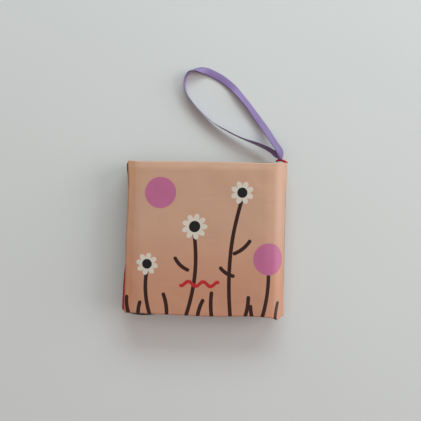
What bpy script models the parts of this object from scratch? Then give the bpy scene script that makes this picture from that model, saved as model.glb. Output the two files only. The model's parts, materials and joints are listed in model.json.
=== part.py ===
"""Crinkle cloth book, lying shut: two padded covers, four crinkle leaves between them and a ribbon loop.

The fold of the spine faces +X, the open edges face -X and the ribbon leaves the top edge towards +Y.
"""

from math import acos, atan2, cos, pi, radians, sin, sqrt

import bmesh
import bpy
from mathutils import Vector

NAME = "crinkle_cloth_book"

# Book
BOOK_WIDTH = 0.1305
SPINE_HEIGHT = 0.1258
FORE_HEIGHT = 0.124
SIDE_DRAW = 0.0004
LEAVES = 4
LEAF_THICKNESS = 0.00305
COVER_THICKNESS = 0.0054
GAP = 0.0003

# Cloth and its seams
FABRIC = 0.0005
SEAM_LIP = 0.0006
COVER_FORE_ROLL = 0.0066
COVER_END_ROLL = 0.0052
LEAF_ROLL = 0.0034
CROWN = 0.0006

# The cut leaves are a little uneven: the furthest that one passes the covers
LEAF_REACH = 0.003

# Fillers
FILM_THICKNESS = 0.0009
FILLER_CORNER = 0.006

# Spine seam
THREAD_RADIUS = 0.0003
SEAM_GATHER = 0.00005
SPINE_SEAM_OVERHANG = 0.0005

# Ribbon and the bar tack that holds its two ends
RIBBON_WIDTH = 0.006
RIBBON_THICKNESS = 0.0005
TACK_RADIUS = 0.0012
TACK_LENGTH = 0.0068
TACK_INSET = 0.00525

# Worked out from the sizes above
BOOK_THICKNESS = 2 * COVER_THICKNESS + LEAVES * LEAF_THICKNESS + (LEAVES + 1) * GAP
SPINE_RADIUS = BOOK_THICKNESS / 2
SPINE_X = (BOOK_WIDTH + LEAF_REACH) / 2
FLAT_LENGTH = BOOK_WIDTH - SPINE_RADIUS
AXIS = Vector((SPINE_X, 0, SPINE_RADIUS))

# At the seam every leaf is pressed to two thicknesses of cloth, and the leaves fan round the axis
WEB_THICKNESS = 2 * FABRIC + GAP + SEAM_GATHER
WEB_GAP = GAP + 2 * SEAM_GATHER
WEB_STACK = LEAVES * WEB_THICKNESS + (LEAVES + 1) * WEB_GAP
WEB_FAN_SHARE = 0.655
WEB_RADIUS = WEB_STACK / (WEB_FAN_SHARE * pi)
SEAM_CORE_RADIUS = WEB_RADIUS - GAP
SPINE_SEAM_LENGTH = SPINE_HEIGHT + 2 * SPINE_SEAM_OVERHANG

# How far, in shares of LEAF_REACH, an open edge passes the covers at its bottom and top corner
COVER_FORE_SHARES = (0.25, 0.0)
LEAF_FORE_SHARES = ((0.3, -0.1), (0.15, 0.5), (1.0, 0.15), (0.55, 0.3))
LEAF_END_SHARES = ((0.15, 0.1), (0.45, 0.2), (0.3, -0.1), (0.1, 0.25))
COVER_END_SHARES = (0.0, 0.0)

# Where a pillowed sheet has its rows of points, as shares of its roll, its flat and its fan
ROLL_SHARES = (0.07, 0.25, 0.55, 1.0)
FLAT_SHARES = (0.22, 0.45, 0.72)
LEAF_FAN_SHARES = (0.25, 0.5, 0.75, 1.0)
COVER_FAN_SHARES = (0.14, 0.28, 0.43, 0.57, 0.71, 0.86, 1.0)
FIRST_HANDLE_SHARE = 0.38
LAST_HANDLE_SHARE = 0.3

# Colours, sRGB shares
PEACH = (0.72, 0.57, 0.47)
RED = (0.66, 0.13, 0.16)
DARK = (0.15, 0.11, 0.12)
CREAM = (0.83, 0.78, 0.70)
MAUVE = (0.66, 0.38, 0.53)
TURQUOISE = (0.30, 0.60, 0.62)
YELLOW = (0.82, 0.66, 0.25)
LILAC = (0.58, 0.50, 0.74)
WHITE = (0.86, 0.86, 0.85)
SILVER = (0.78, 0.79, 0.80)
LEAF_COLOURS = ((TURQUOISE, DARK), (DARK, YELLOW), (RED, CREAM), (MAUVE, RED))

# The ribbon's middle line from its upper end round to its lower one, and its twist in degrees
RIBBON_ROUTE = (
    (0.0615, 0.0667, 0.0128, 0),
    (0.0616, 0.0698, 0.0127, 8),
    (0.0608, 0.0740, 0.0116, 18),
    (0.0580, 0.0787, 0.0095, 24),
    (0.0534, 0.0865, 0.0057, 22),
    (0.0472, 0.0959, 0.0030, 18),
    (0.0410, 0.1043, 0.0022, 22),
    (0.0352, 0.1123, 0.0025, 34),
    (0.0275, 0.1214, 0.0021, 28),
    (0.0210, 0.1282, 0.0013, 10),
    (0.0130, 0.1345, 0.0009, 4),
    (0.0052, 0.1389, 0.0008, 5),
    (-0.0027, 0.1419, 0.0013, 14),
    (-0.0108, 0.1424, 0.0030, 58),
    (-0.0163, 0.1402, 0.0033, 88),
    (-0.0192, 0.1359, 0.0033, 97),
    (-0.0202, 0.1304, 0.0033, 99),
    (-0.0193, 0.1249, 0.0033, 96),
    (-0.0171, 0.1200, 0.0033, 93),
    (-0.0137, 0.1151, 0.0033, 93),
    (-0.0087, 0.1095, 0.0034, 97),
    (-0.0022, 0.1032, 0.0036, 101),
    (0.0036, 0.0982, 0.0039, 99),
    (0.0108, 0.0936, 0.0044, 93),
    (0.0179, 0.0898, 0.0049, 90),
    (0.0251, 0.0862, 0.0054, 90),
    (0.0322, 0.0832, 0.0059, 87),
    (0.0393, 0.0808, 0.0063, 78),
    (0.0462, 0.0782, 0.0067, 72),
    (0.0518, 0.0756, 0.0072, 66),
    (0.0562, 0.0728, 0.0080, 58),
    (0.0595, 0.0701, 0.0097, 32),
    (0.0611, 0.0683, 0.0112, 6),
    (0.0615, 0.0667, 0.0117, 0),
)
RIBBON_STEPS = 2
CORNER_STEPS = 5
SEAM_CORE_STEPS = 12
TACK_SIDES = 12
THREAD_SIDES = 8
CLOTH_ROUGHNESS = 0.62
SATIN_ROUGHNESS = 0.38
FILM_ROUGHNESS = 0.25


def clear_scene():
    for obj in list(bpy.data.objects):
        bpy.data.objects.remove(obj, do_unlink=True)


def new_collection():
    collection = bpy.data.collections.new(NAME)
    bpy.context.scene.collection.children.link(collection)
    return collection


def finish_object(obj, collection, parent, colour, roughness):
    """Puts the object in the collection and on its hinge, with a material of its own."""
    collection.objects.link(obj)
    obj.parent = parent
    material = bpy.data.materials.new(obj.name)
    material.use_nodes = True
    shader = material.node_tree.nodes["Principled BSDF"]
    shader.inputs["Base Color"].default_value = (*(share**2.2 for share in colour), 1)
    shader.inputs["Roughness"].default_value = roughness
    shader.inputs["Metallic"].default_value = 0
    obj.data.materials.append(material)
    return obj


def hinge_empty(name, collection, parent, place):
    empty = bpy.data.objects.new(name, None)
    empty.empty_display_size = SPINE_RADIUS
    empty.parent = parent
    empty.location = place
    collection.objects.link(empty)
    return empty


def roll_rise(distance, roll):
    """How far a pillowed sheet has risen at this distance from its seam, from 0 to 1."""
    share = min(max((distance - SEAM_LIP) / roll, 0), 1)
    return sqrt(1 - (1 - share) ** 2)


def seam_rows(roll, length):
    """Shares of a length, from its seam inwards, at which the roll of the cloth has its points."""
    return [0, SEAM_LIP / length] + [(SEAM_LIP + share * roll) / length for share in ROLL_SHARES]


def long_rows(roll, fan_shares):
    """Rows from the open edge, at 0, over the flat, which ends at 1, to the end of the fan, at 2."""
    return seam_rows(roll, FLAT_LENGTH) + [*FLAT_SHARES, 1] + [1 + share for share in fan_shares]


def cross_rows(roll):
    """Rows across the height of the page, from -1 to 1."""
    lower = [share - 1 for share in seam_rows(roll, FORE_HEIGHT / 2)]
    return lower + [0] + [-row for row in reversed(lower)]


def flat_place(row, across, fore_shares):
    """X of a point of the flat, from the axis."""
    top = (across + 1) / 2
    reach = LEAF_REACH * (fore_shares[0] * (1 - top) + fore_shares[1] * top)
    fore = -BOOK_WIDTH - reach + SIDE_DRAW * (1 - across**2)
    return fore + (-SPINE_RADIUS - fore) * row


def web_path(flat_z, angle, fore_shares):
    """Path of a face that runs flat and then bends into the spine seam, at this angle above -X."""
    start = Vector((-SPINE_RADIUS, flat_z))
    outward = Vector((-cos(angle), sin(angle)))
    end = WEB_RADIUS * outward
    first = start + Vector((FIRST_HANDLE_SHARE * SPINE_RADIUS, 0))
    last = end + LAST_HANDLE_SHARE * SPINE_RADIUS * outward

    def path(row, across):
        if row <= 1:
            return Vector((flat_place(row, across, fore_shares), flat_z))
        t = row - 1
        s = 1 - t
        return s**3 * start + 3 * s**2 * t * first + 3 * s * t**2 * last + t**3 * end

    return path


def spine_path(side, crown):
    """Path of a cover's outer face: flat, then a quarter round to the fold. Side is 1 above and -1 below."""
    end_angle = acos((THREAD_RADIUS + GAP) / SPINE_RADIUS)

    def path(row, across):
        if row <= 1:
            drop = crown * (1 - (1 - across**2) * (1 - (1 - row) ** 2))
            place = flat_place(row, across, COVER_FORE_SHARES)
            return Vector((place, side * (SPINE_RADIUS - drop)))
        angle = (row - 1) * end_angle
        radius = SPINE_RADIUS - crown * across**2 * (2 - row)
        return Vector((-SPINE_RADIUS + radius * sin(angle), side * radius * cos(angle)))

    return path


def height_place(along, across, end_shares):
    """Y of a point whose X is this share of the book's width from its open edge."""
    reach = LEAF_REACH * end_shares[0 if across < 0 else 1] * (1 - along)
    half = (FORE_HEIGHT + (SPINE_HEIGHT - FORE_HEIGHT) * along) / 2
    return across * (half - SIDE_DRAW * (1 - (2 * along - 1) ** 2) + reach)


def sheet_point(own, other, row, across, fore_roll, end_roll, end_shares):
    """A point of one face of a pillow: it rises from the middle between both faces out to its own path."""
    face = own(row, across)
    back = other(row, across)
    middle = (face + back) / 2
    half = face - middle
    rise = roll_rise(min(row, 1) * FLAT_LENGTH, fore_roll)
    rise *= roll_rise((1 - abs(across)) * FORE_HEIGHT / 2, end_roll)
    rise += (1 - rise) * max(row - 1, 0)
    least = min((FABRIC + GAP / 2) / half.length, 1)
    place = middle + half * (least + (1 - least) * rise)
    along = min(max((place.x + BOOK_WIDTH) / BOOK_WIDTH, 0), 1)
    return Vector((place.x, height_place(along, across, end_shares), place.y))


def cloth_sheet(name, own, other, rolls, fan_shares, end_shares, upward):
    """One face cloth: a grid laid on its path, made as thick as the cloth towards the inside of the pillow."""
    fore_roll, end_roll = rolls
    rows = long_rows(fore_roll, fan_shares)
    columns = cross_rows(end_roll)
    bm = bmesh.new()
    bmesh.ops.create_grid(bm, x_segments=len(rows) - 1, y_segments=len(columns) - 1, size=1)
    for vert in bm.verts:
        row = rows[round((vert.co.x + 1) / 2 * (len(rows) - 1))]
        across = columns[round((vert.co.y + 1) / 2 * (len(columns) - 1))]
        vert.co = sheet_point(own, other, row, across, fore_roll, end_roll, end_shares)
    if not upward:
        bmesh.ops.reverse_faces(bm, faces=bm.faces)
    return solid_sheet(name, bm, FABRIC, -1)


def solid_sheet(name, bm, thickness, offset):
    mesh = bpy.data.meshes.new(name)
    bm.to_mesh(mesh)
    bm.free()
    mesh.shade_smooth()
    obj = bpy.data.objects.new(name, mesh)
    solidify = obj.modifiers.new("Cloth thickness", "SOLIDIFY")
    solidify.thickness = thickness
    solidify.offset = offset
    return obj


def outline_solid(name, points, thickness):
    """A flat outline, extruded to its thickness about its own plane."""
    curve = bpy.data.curves.new(name, "CURVE")
    curve.dimensions = "2D"
    curve.fill_mode = "BOTH"
    curve.extrude = thickness / 2
    spline = curve.splines.new("POLY")
    spline.points.add(len(points) - 1)
    for point, (x, y) in zip(spline.points, points):
        point.co = (x, y, 0, 1)
    spline.use_cyclic_u = True
    return bpy.data.objects.new(name, curve)


def rounded_rectangle(width, height, corner):
    """Corners from the right-hand top one round, each an arc."""
    points = []
    for turn, (x_sign, y_sign) in enumerate(((1, 1), (-1, 1), (-1, -1), (1, -1))):
        for step in range(CORNER_STEPS + 1):
            angle = (turn + step / CORNER_STEPS) * pi / 2
            x = x_sign * (width / 2 - corner) + corner * cos(angle)
            y = y_sign * (height / 2 - corner) + corner * sin(angle)
            points.append((x, y))
    return points


def filler(name, rolls, low_z, thickness):
    """Wadding or film, cut to lie inside the rolls of its pillow. Its heights are from the axis."""
    fore_roll, end_roll = rolls
    start = -BOOK_WIDTH + SEAM_LIP + fore_roll + SIDE_DRAW + GAP
    start += LEAF_REACH * -min(min(shares) for shares in LEAF_FORE_SHARES)
    width = -SPINE_RADIUS - GAP - start
    height = FORE_HEIGHT - 2 * (SEAM_LIP + end_roll + SIDE_DRAW + GAP)
    height -= 2 * LEAF_REACH * -min(min(shares) for shares in LEAF_END_SHARES)
    obj = outline_solid(name, rounded_rectangle(width, height, FILLER_CORNER), thickness)
    obj.location = (start + width / 2, 0, low_z + thickness / 2)
    return obj


def leaf_faces(index):
    """Heights from the axis of the front and rear face of a leaf, counted from 0 under the front cover."""
    front = SPINE_RADIUS - COVER_THICKNESS - GAP - index * (LEAF_THICKNESS + GAP)
    return front, front - LEAF_THICKNESS


def web_angle(layer_top):
    """Angle above -X of a face that lies this far down the pressed stack at the seam."""
    return (WEB_STACK / 2 - layer_top) / WEB_RADIUS


def make_leaf(index, collection, hinge):
    number = index + 1
    front_z, rear_z = leaf_faces(index)
    top = WEB_GAP + index * (WEB_GAP + WEB_THICKNESS)
    fore_shares = LEAF_FORE_SHARES[index]
    front = web_path(front_z, web_angle(top), fore_shares)
    rear = web_path(rear_z, web_angle(top + WEB_THICKNESS), fore_shares)
    rolls = (LEAF_ROLL, LEAF_ROLL)
    ends = LEAF_END_SHARES[index]
    colours = LEAF_COLOURS[index]
    face = cloth_sheet(f"leaf_{number}_front_fabric", front, rear, rolls, LEAF_FAN_SHARES, ends, True)
    finish_object(face, collection, hinge, colours[0], CLOTH_ROUGHNESS)
    face = cloth_sheet(f"leaf_{number}_rear_fabric", rear, front, rolls, LEAF_FAN_SHARES, ends, False)
    finish_object(face, collection, hinge, colours[1], CLOTH_ROUGHNESS)
    inside = FABRIC + GAP
    film = filler(f"leaf_{number}_crinkle_film", rolls, rear_z + inside, LEAF_THICKNESS - 2 * inside)
    finish_object(film, collection, hinge, SILVER, FILM_ROUGHNESS)


def make_cover(word, side, crown, lining_colour, collection, hinge):
    """Outer cloth with its half of the spine, lining, wadding and film. Side is 1 above and -1 below."""
    outer = spine_path(side, crown)
    lining = web_path(side * (SPINE_RADIUS - COVER_THICKNESS), side * web_angle(0), COVER_FORE_SHARES)
    rolls = (COVER_FORE_ROLL, COVER_END_ROLL)
    upward = side > 0
    cloth = cloth_sheet(f"{word}_outer_fabric", outer, lining, rolls, COVER_FAN_SHARES, COVER_END_SHARES, upward)
    finish_object(cloth, collection, hinge, PEACH, CLOTH_ROUGHNESS)
    cloth = cloth_sheet(f"{word}_lining", lining, outer, rolls, LEAF_FAN_SHARES, COVER_END_SHARES, not upward)
    finish_object(cloth, collection, hinge, lining_colour, CLOTH_ROUGHNESS)
    film_in = SPINE_RADIUS - COVER_THICKNESS + FABRIC + GAP
    wadding_in = film_in + FILM_THICKNESS + GAP
    wadding_thickness = SPINE_RADIUS - CROWN - FABRIC - GAP - wadding_in
    for name, start, thickness, colour, roughness in (
        (f"{word}_crinkle_film", film_in, FILM_THICKNESS, SILVER, FILM_ROUGHNESS),
        (f"{word}_wadding", wadding_in, wadding_thickness, WHITE, CLOTH_ROUGHNESS),
    ):
        low = start if upward else -start - thickness
        finish_object(filler(name, rolls, low, thickness), collection, hinge, colour, roughness)


def make_spine_seam(collection, hinge):
    """The stacked middle strips of the pages, sewn into one bar that is round towards the leaves."""
    cloth_inside = sqrt((SPINE_RADIUS - FABRIC) ** 2 - SEAM_CORE_RADIUS**2)
    flat = SPINE_RADIUS - cloth_inside + GAP
    reach = acos(flat / SEAM_CORE_RADIUS)
    points = []
    for step in range(SEAM_CORE_STEPS + 1):
        angle = reach * (2 * step / SEAM_CORE_STEPS - 1)
        points.append((-SEAM_CORE_RADIUS * cos(angle), -SEAM_CORE_RADIUS * sin(angle)))
    core = outline_solid("spine_seam", points, SPINE_SEAM_LENGTH)
    core.rotation_euler = (pi / 2, 0, 0)
    finish_object(core, collection, hinge, RED, CLOTH_ROUGHNESS)


def round_bar(name, radius, length, sides):
    bm = bmesh.new()
    bmesh.ops.create_cone(
        bm, cap_ends=True, segments=sides, radius1=radius, radius2=radius, depth=length
    )
    mesh = bpy.data.meshes.new(name)
    bm.to_mesh(mesh)
    bm.free()
    return bpy.data.objects.new(name, mesh)


def make_spine_stitching(collection, hinge):
    """The thread along the fold, on the axis that every page turns on."""
    thread = round_bar("spine_stitching", THREAD_RADIUS, SPINE_HEIGHT, THREAD_SIDES)
    thread.rotation_euler = (pi / 2, 0, 0)
    finish_object(thread, collection, hinge, PEACH, CLOTH_ROUGHNESS)


def tack_place():
    """Centre of the bar tack, from the middle of the spine's axis. The ribbon swings on it."""
    return Vector((-TACK_INSET, SPINE_SEAM_LENGTH / 2 + GAP + TACK_RADIUS, 0))


def make_bar_tack(collection, hinge):
    tack = round_bar("ribbon_bar_tack", TACK_RADIUS, TACK_LENGTH, TACK_SIDES)
    tack.rotation_euler = (0, pi / 2, 0)
    tack.location = tack_place()
    finish_object(tack, collection, hinge, RED, CLOTH_ROUGHNESS)


def route_point(index, t):
    """Point and twist on a smooth curve through the route, past its point of this number."""
    last = len(RIBBON_ROUTE) - 1
    before, start, end, after = (
        Vector(RIBBON_ROUTE[min(max(index + step, 0), last)]) for step in (-1, 0, 1, 2)
    )
    bend = 2 * before - 5 * start + 4 * end - after
    turn = 3 * (start - end) + after - before
    return start + (t * (end - before) + t**2 * bend + t**3 * turn) / 2


def ribbon_stations():
    stations = [
        route_point(index, step / RIBBON_STEPS)
        for index in range(len(RIBBON_ROUTE) - 1)
        for step in range(RIBBON_STEPS)
    ]
    return stations + [Vector(RIBBON_ROUTE[-1])]


def make_ribbon(collection, hinge):
    """A flat strip carried along the route: at no twist it lies flat, at 90 degrees it stands on its edge."""
    stations = ribbon_stations()
    bm = bmesh.new()
    bmesh.ops.create_grid(bm, x_segments=len(stations) - 1, y_segments=1, size=1)
    origin = AXIS + tack_place()
    for vert in bm.verts:
        index = round((vert.co.x + 1) / 2 * (len(stations) - 1))
        station = stations[index]
        ahead = stations[min(index + 1, len(stations) - 1)] - stations[max(index - 1, 0)]
        heading = atan2(ahead.y, ahead.x) + pi / 2
        twist = radians(station.w)
        across = Vector((cos(twist) * cos(heading), cos(twist) * sin(heading), sin(twist)))
        vert.co = station.to_3d() + across * vert.co.y * RIBBON_WIDTH / 2 - origin
    ribbon = solid_sheet("ribbon_loop", bm, RIBBON_THICKNESS, 0)
    finish_object(ribbon, collection, hinge, LILAC, SATIN_ROUGHNESS)


def main():
    clear_scene()
    collection = new_collection()
    book = hinge_empty("back_cover_axis", collection, None, AXIS)
    make_cover("back_cover", -1, 0, YELLOW, collection, book)
    make_spine_seam(collection, book)
    make_spine_stitching(collection, book)
    make_bar_tack(collection, book)
    make_ribbon(collection, hinge_empty("ribbon_axis", collection, book, tack_place()))
    hinge = book
    for index in reversed(range(LEAVES)):
        hinge = hinge_empty(f"leaf_{index + 1}_axis", collection, hinge, (0, 0, 0))
        make_leaf(index, collection, hinge)
    hinge = hinge_empty("front_cover_axis", collection, hinge, (0, 0, 0))
    make_cover("front_cover", 1, CROWN, RED, collection, hinge)


main()
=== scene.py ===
"""Crinkle cloth book, lying shut on a pale table: padded covers, four crinkle leaves and a ribbon loop.

The fold of the spine faces +X, the open edges face -X and the ribbon leaves the top edge towards +Y.
"""

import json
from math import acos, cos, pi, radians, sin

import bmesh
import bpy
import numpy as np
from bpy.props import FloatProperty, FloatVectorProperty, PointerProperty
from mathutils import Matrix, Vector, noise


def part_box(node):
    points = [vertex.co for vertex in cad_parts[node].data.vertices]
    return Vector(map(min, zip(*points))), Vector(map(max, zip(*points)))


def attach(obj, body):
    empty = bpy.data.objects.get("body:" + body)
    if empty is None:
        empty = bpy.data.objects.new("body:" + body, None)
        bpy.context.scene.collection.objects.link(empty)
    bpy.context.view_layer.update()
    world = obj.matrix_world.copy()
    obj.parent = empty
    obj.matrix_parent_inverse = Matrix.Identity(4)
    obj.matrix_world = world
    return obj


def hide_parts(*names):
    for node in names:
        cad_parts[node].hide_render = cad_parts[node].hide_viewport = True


bl_info = {
    "name": "Crinkle Cloth Book",
    "version": (1, 0, 0),
    "blender": (4, 5, 0),
    "location": "View3D > Sidebar > Cloth Book",
    "description": "Builds a baby's cloth book with padded covers, crinkle leaves and a ribbon loop",
    "category": "Object",
}

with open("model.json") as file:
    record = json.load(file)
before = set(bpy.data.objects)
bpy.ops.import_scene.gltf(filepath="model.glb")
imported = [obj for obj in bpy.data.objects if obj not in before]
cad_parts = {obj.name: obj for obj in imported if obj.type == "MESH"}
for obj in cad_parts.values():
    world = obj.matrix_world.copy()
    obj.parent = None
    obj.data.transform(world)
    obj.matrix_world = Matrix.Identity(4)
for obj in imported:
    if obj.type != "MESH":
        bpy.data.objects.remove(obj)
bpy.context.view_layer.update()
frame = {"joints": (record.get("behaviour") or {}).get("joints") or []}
AXIS = Vector(frame["joints"][0]["pos_m"])

MM = 0.001

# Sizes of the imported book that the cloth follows
LEAVES = 4
BOOK_WIDTH = 0.1305
SPINE_HEIGHT = 0.1258
FORE_HEIGHT = 0.124
COVER_THICKNESS = 0.0054
LEAF_THICKNESS = 0.00305
PAGE_GAP = 0.0003
SPINE_RADIUS = AXIS.z
FLAT_LENGTH = BOOK_WIDTH - SPINE_RADIUS
CROWN = 0.0006

# The pages' strips fan out from a round spine seam, and bend into it between these handles
WEB_THICKNESS = 0.00135
WEB_GAP = 0.0004
WEB_STACK = LEAVES * WEB_THICKNESS + (LEAVES + 1) * WEB_GAP
WEB_FAN_SHARE = 0.655
WEB_RADIUS = WEB_STACK / (WEB_FAN_SHARE * pi)
FIRST_HANDLE = 0.38 * SPINE_RADIUS
LAST_HANDLE = 0.3 * SPINE_RADIUS

# Each page's outline, as millimetres that it passes the nominal one:
# the open edge against its place from bottom (-1) to top (1), the ends against their place from open edge to fold
COVER_OUTLINE = {
    "fore": ((-1, 0.45), (-0.47, 0.05), (0.07, 0.25), (0.28, -0.45), (0.48, -0.75), (0.74, -0.75), (1, 0.35)),
    "top": ((0, -0.3), (0.06, -0.55), (0.3, -0.36), (0.7, -0.33), (0.9, -0.6), (1, 0.5)),
    "bottom": (
        (0, 0.5), (0.13, 0.7), (0.3, 1.1), (0.57, 1.6), (0.76, 0.7),
        (0.86, 0.9), (0.93, 2.0), (0.963, 3.2), (0.98, 1.1), (1, 0.9),
    ),
}
BACK_OUTLINE = {
    "fore": ((-1, 0.3), (0, -0.2), (1, 0)),
    "top": ((0, 0), (0.5, -0.3), (1, 0)),
    "bottom": ((0, 0), (0.5, -0.3), (1, 0.3)),
}
LEAF_OUTLINES = (
    {
        "fore": ((-1, 0.2), (0, -0.4), (1, -0.5)),
        "top": ((0, -0.3), (0.5, -0.6), (1, -0.6)),
        "bottom": ((0, 0.2), (0.5, -0.2), (1, 0)),
    },
    {
        "fore": (
            (-1, 0.8), (-0.4, 0.3), (0, 0.1), (0.55, 0.4), (0.72, 0.8), (0.8, 1.0), (0.9, 1.9), (0.97, 1.8), (1, 0.9),
        ),
        "top": ((0, 0.2), (0.5, -0.6), (0.84, -0.3), (0.9, 0.25), (0.94, -0.05), (0.97, -0.35), (1, -0.1)),
        "bottom": ((0, 1.0), (0.03, 2.6), (0.06, 3.3), (0.15, 3.3), (0.2, 2.2), (0.24, 0.3), (1, 0)),
    },
    {
        "fore": ((-1, 4.1), (-0.5, 2.8), (-0.25, 1.2), (0.3, 0.5), (1, 0.2)),
        "top": ((0, 0), (0.5, -0.3), (1, 0)),
        "bottom": ((0, 1.0), (0.1, 0.6), (0.4, 0), (1, 0)),
    },
    {
        "fore": ((-1, 1.6), (0, 1.2), (1, 0.9)),
        "top": ((0, 0.7), (0.5, -0.2), (1, 0)),
        "bottom": ((0, 0.3), (0.5, -0.3), (1, 0)),
    },
)
LEAF_SLOTS = (
    ("page_cloth_turquoise", "page_cloth_dark"),
    ("page_cloth_dark", "page_cloth_yellow"),
    ("page_cloth_red", "page_cloth_cream"),
    ("page_cloth_mauve", "page_cloth_red"),
)

# The front cover's face sinks by this much over this length before the fold
DROOP = 0.0007
DROOP_LENGTH = 0.007
# How far the fold leans out above the axis and in below it, in millimetres, from bottom to top
FOLD_LEAN = ((-1, 1.1), (-0.75, 0.4), (-0.4, 0), (0.3, 0), (0.62, 0.15), (0.72, 0.9), (1, 1.3))
FOLD_NOSE = 0.0019
FOLD_SPREAD = 0.003
# Room between the two halves of the outer cloth, across the fold and along it
FOLD_ROOM = 0.00004
FOLD_GAP = 0.00036

# Half of the thickness left at the seams, the rounding of the corners, and the points' spacing and fan steps
SEAM_HALF = 0.00042
COVER_CORNER = 0.0016
LEAF_CORNER = 0.0022
OUTER_GRID = (0.0013, 22)
LINING_GRID = (0.0021, 12)
LEAF_GRID = (0.0019, 12)
FILL_SPACING = 0.003
FILL_FRAMES = 20
# How much of a page's filling shows, and how far it may go outwards and inwards
COVER_PUCKER = (0.16, 0.00012, 0.00025)
BACK_PUCKER = (0.16, 0.00001, 0.00025)
LINING_PUCKER = (0.25, 0.00008, 0.0003)
LEAF_PUCKER = (0.3, 0.0001, 0.00015)
PUCKER_FADE = 0.003

# Width and share of the small steps at the front cover's seams, and the rolls at the back cover's
FORE_STEP = (0.0016, 0.46)
BOTTOM_STEP = (0.0011, 0.74)
TOP_STEP = (0.0012, 0.28)
BACK_ROLLS = (0.0066, 0.0052)
# Faint wrinkles in the front cover: place, length, width and depth share
COVER_WRINKLES = (
    (0.001, 0.033, 0.009, 0.0009, 0.9),
    (0.005, -0.001, 0.011, 0.0008, 0.8),
    (0.057, 0.0285, 0.006, 0.0008, 0.7),
    (-0.03, -0.036, 0.012, 0.001, 0.5),
    (0.03, -0.052, 0.014, 0.0011, 0.7),
)

# Film and wadding in the pages
FILM_SPACING = 0.0026
FILM_THICKNESS = 0.00005
FILM_INSET = 0.00006
WADDING_SPACING = 0.0028
WADDING_ROLL = 0.004
FILLER_CORNER = 0.006
WELD = 0.00001


def srgb(red, green, blue):
    """Linear colour of a colour given from 0 to 255."""
    shares = (red / 255, green / 255, blue / 255)
    return tuple(s / 12.92 if s <= 0.04045 else ((s + 0.055) / 1.055) ** 2.4 for s in shares)


def colour_property(name, description, *colour):
    return FloatVectorProperty(
        name=name, description=description, default=srgb(*colour), size=3, min=0, max=1, subtype="COLOR"
    )


def length_property(name, description, length, highest):
    return FloatProperty(
        name=name, description=description, default=length, min=0, max=highest, precision=5, unit="LENGTH"
    )


def power_property(name, description, power):
    return FloatProperty(name=name, description=description, default=power, min=0, max=500, unit="POWER")


class ClothBookCloth(bpy.types.PropertyGroup):
    """Cloth of the covers and leaves."""

    thickness: length_property("Cloth Thickness", "Thickness of one face cloth", 0.0003, 0.002)
    thread_pitch: length_property("Thread Pitch", "Distance between neighbouring threads", 0.00034, 0.002)
    fore_roll: length_property("Open Edge Roll", "Width of the sloping band along the open edge", 0.0102, 0.02)
    end_roll: length_property("End Roll", "Width of the rounded band along the top and bottom", 0.0052, 0.02)
    leaf_roll: length_property("Leaf Roll", "Width of the rounded edge of a leaf", 0.0034, 0.01)
    wrinkle: length_property("Wrinkle Depth", "Depth of the wrinkles in the covers", 0.00022, 0.002)
    crinkle: length_property("Crinkle Depth", "Depth of the crinkles in the leaves", 0.0003, 0.001)
    seam_wander: length_property("Seam Wander", "How far the seams wander up and down", 0.0007, 0.002)
    fill_pressure: FloatProperty(
        name="Fill Pressure", description="Pressure that blows up each page's cloth", default=0.3, min=0, max=10
    )
    spare_cloth: FloatProperty(
        name="Spare Cloth", description="Share by which the cloth is larger than its page",
        default=0.01, min=0, max=0.1, subtype="FACTOR"
    )
    peach: colour_property("Cover Cloth", "Ground colour of the covers", 177, 141, 118)
    # Painted shade: the covers' colour at the bottom, darker where less light falls there
    shaded_peach: colour_property("Shaded Cover Cloth", "Ground colour of the covers at the bottom", 174, 127, 102)
    red: colour_property("Red Cloth", "Red of the pages", 172, 36, 44)
    dark: colour_property("Dark Cloth", "Near-black of the pages", 38, 29, 31)
    cream: colour_property("Cream Cloth", "Cream of the pages", 206, 196, 176)
    mauve: colour_property("Mauve Cloth", "Mauve of the pages", 168, 96, 128)
    turquoise: colour_property("Turquoise Cloth", "Turquoise of the pages", 84, 154, 158)
    yellow: colour_property("Yellow Cloth", "Yellow of the pages", 206, 168, 70)


class ClothBookPrint(bpy.types.PropertyGroup):
    """Printed garden on the front cover."""

    stroke: length_property("Stroke Width", "Width of the brown stems and grass", 0.0031, 0.01)
    brown: colour_property("Stems", "Brown of the stems and grass", 44, 12, 5)
    mauve: colour_property("Mauve", "Mauve of the round blooms", 166, 92, 128)
    petal: colour_property("Petals", "Pale petals of the daisies", 190, 184, 172)
    heart: colour_property("Flower Hearts", "Dark middles of the daisies", 12, 6, 8)
    red: colour_property("Red Line", "Red wavy line", 165, 25, 33)


class ClothBookRibbon(bpy.types.PropertyGroup):
    """Ribbon loop and its bar tack."""

    width: length_property("Ribbon Width", "Width of the satin ribbon", 0.0062, 0.02)
    thickness: length_property("Ribbon Thickness", "Thickness of the satin ribbon", 0.0003, 0.001)
    satin: colour_property("Satin", "Colour of the ribbon", 116, 96, 144)
    tack: colour_property("Bar Tack", "Thread of the bar tack", 186, 24, 54)


class ClothBookStage(bpy.types.PropertyGroup):
    """Table, light and camera."""

    table: colour_property("Table", "Colour of the table", 191, 196, 196)
    top_power: power_property("Top Lamp", "Power of the lamp beyond the ribbon", 26.0)
    side_power: power_property("Side Lamp", "Power of the low lamp beside the fold", 55.0)
    ambient: FloatProperty(name="Ambient", description="Strength of the light all round", default=0.75, min=0, max=2)
    camera_height: length_property("Camera Height", "Height of the camera above the table", 0.4245, 5)
    camera_turn: FloatProperty(
        name="Camera Turn", description="Turn of the picture about the line of sight",
        default=radians(1.3), min=-pi, max=pi, unit="ROTATION"
    )


def settings(name):
    return getattr(bpy.context.scene, f"cloth_book_{name}")


# Smooth curves and profiles


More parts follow.
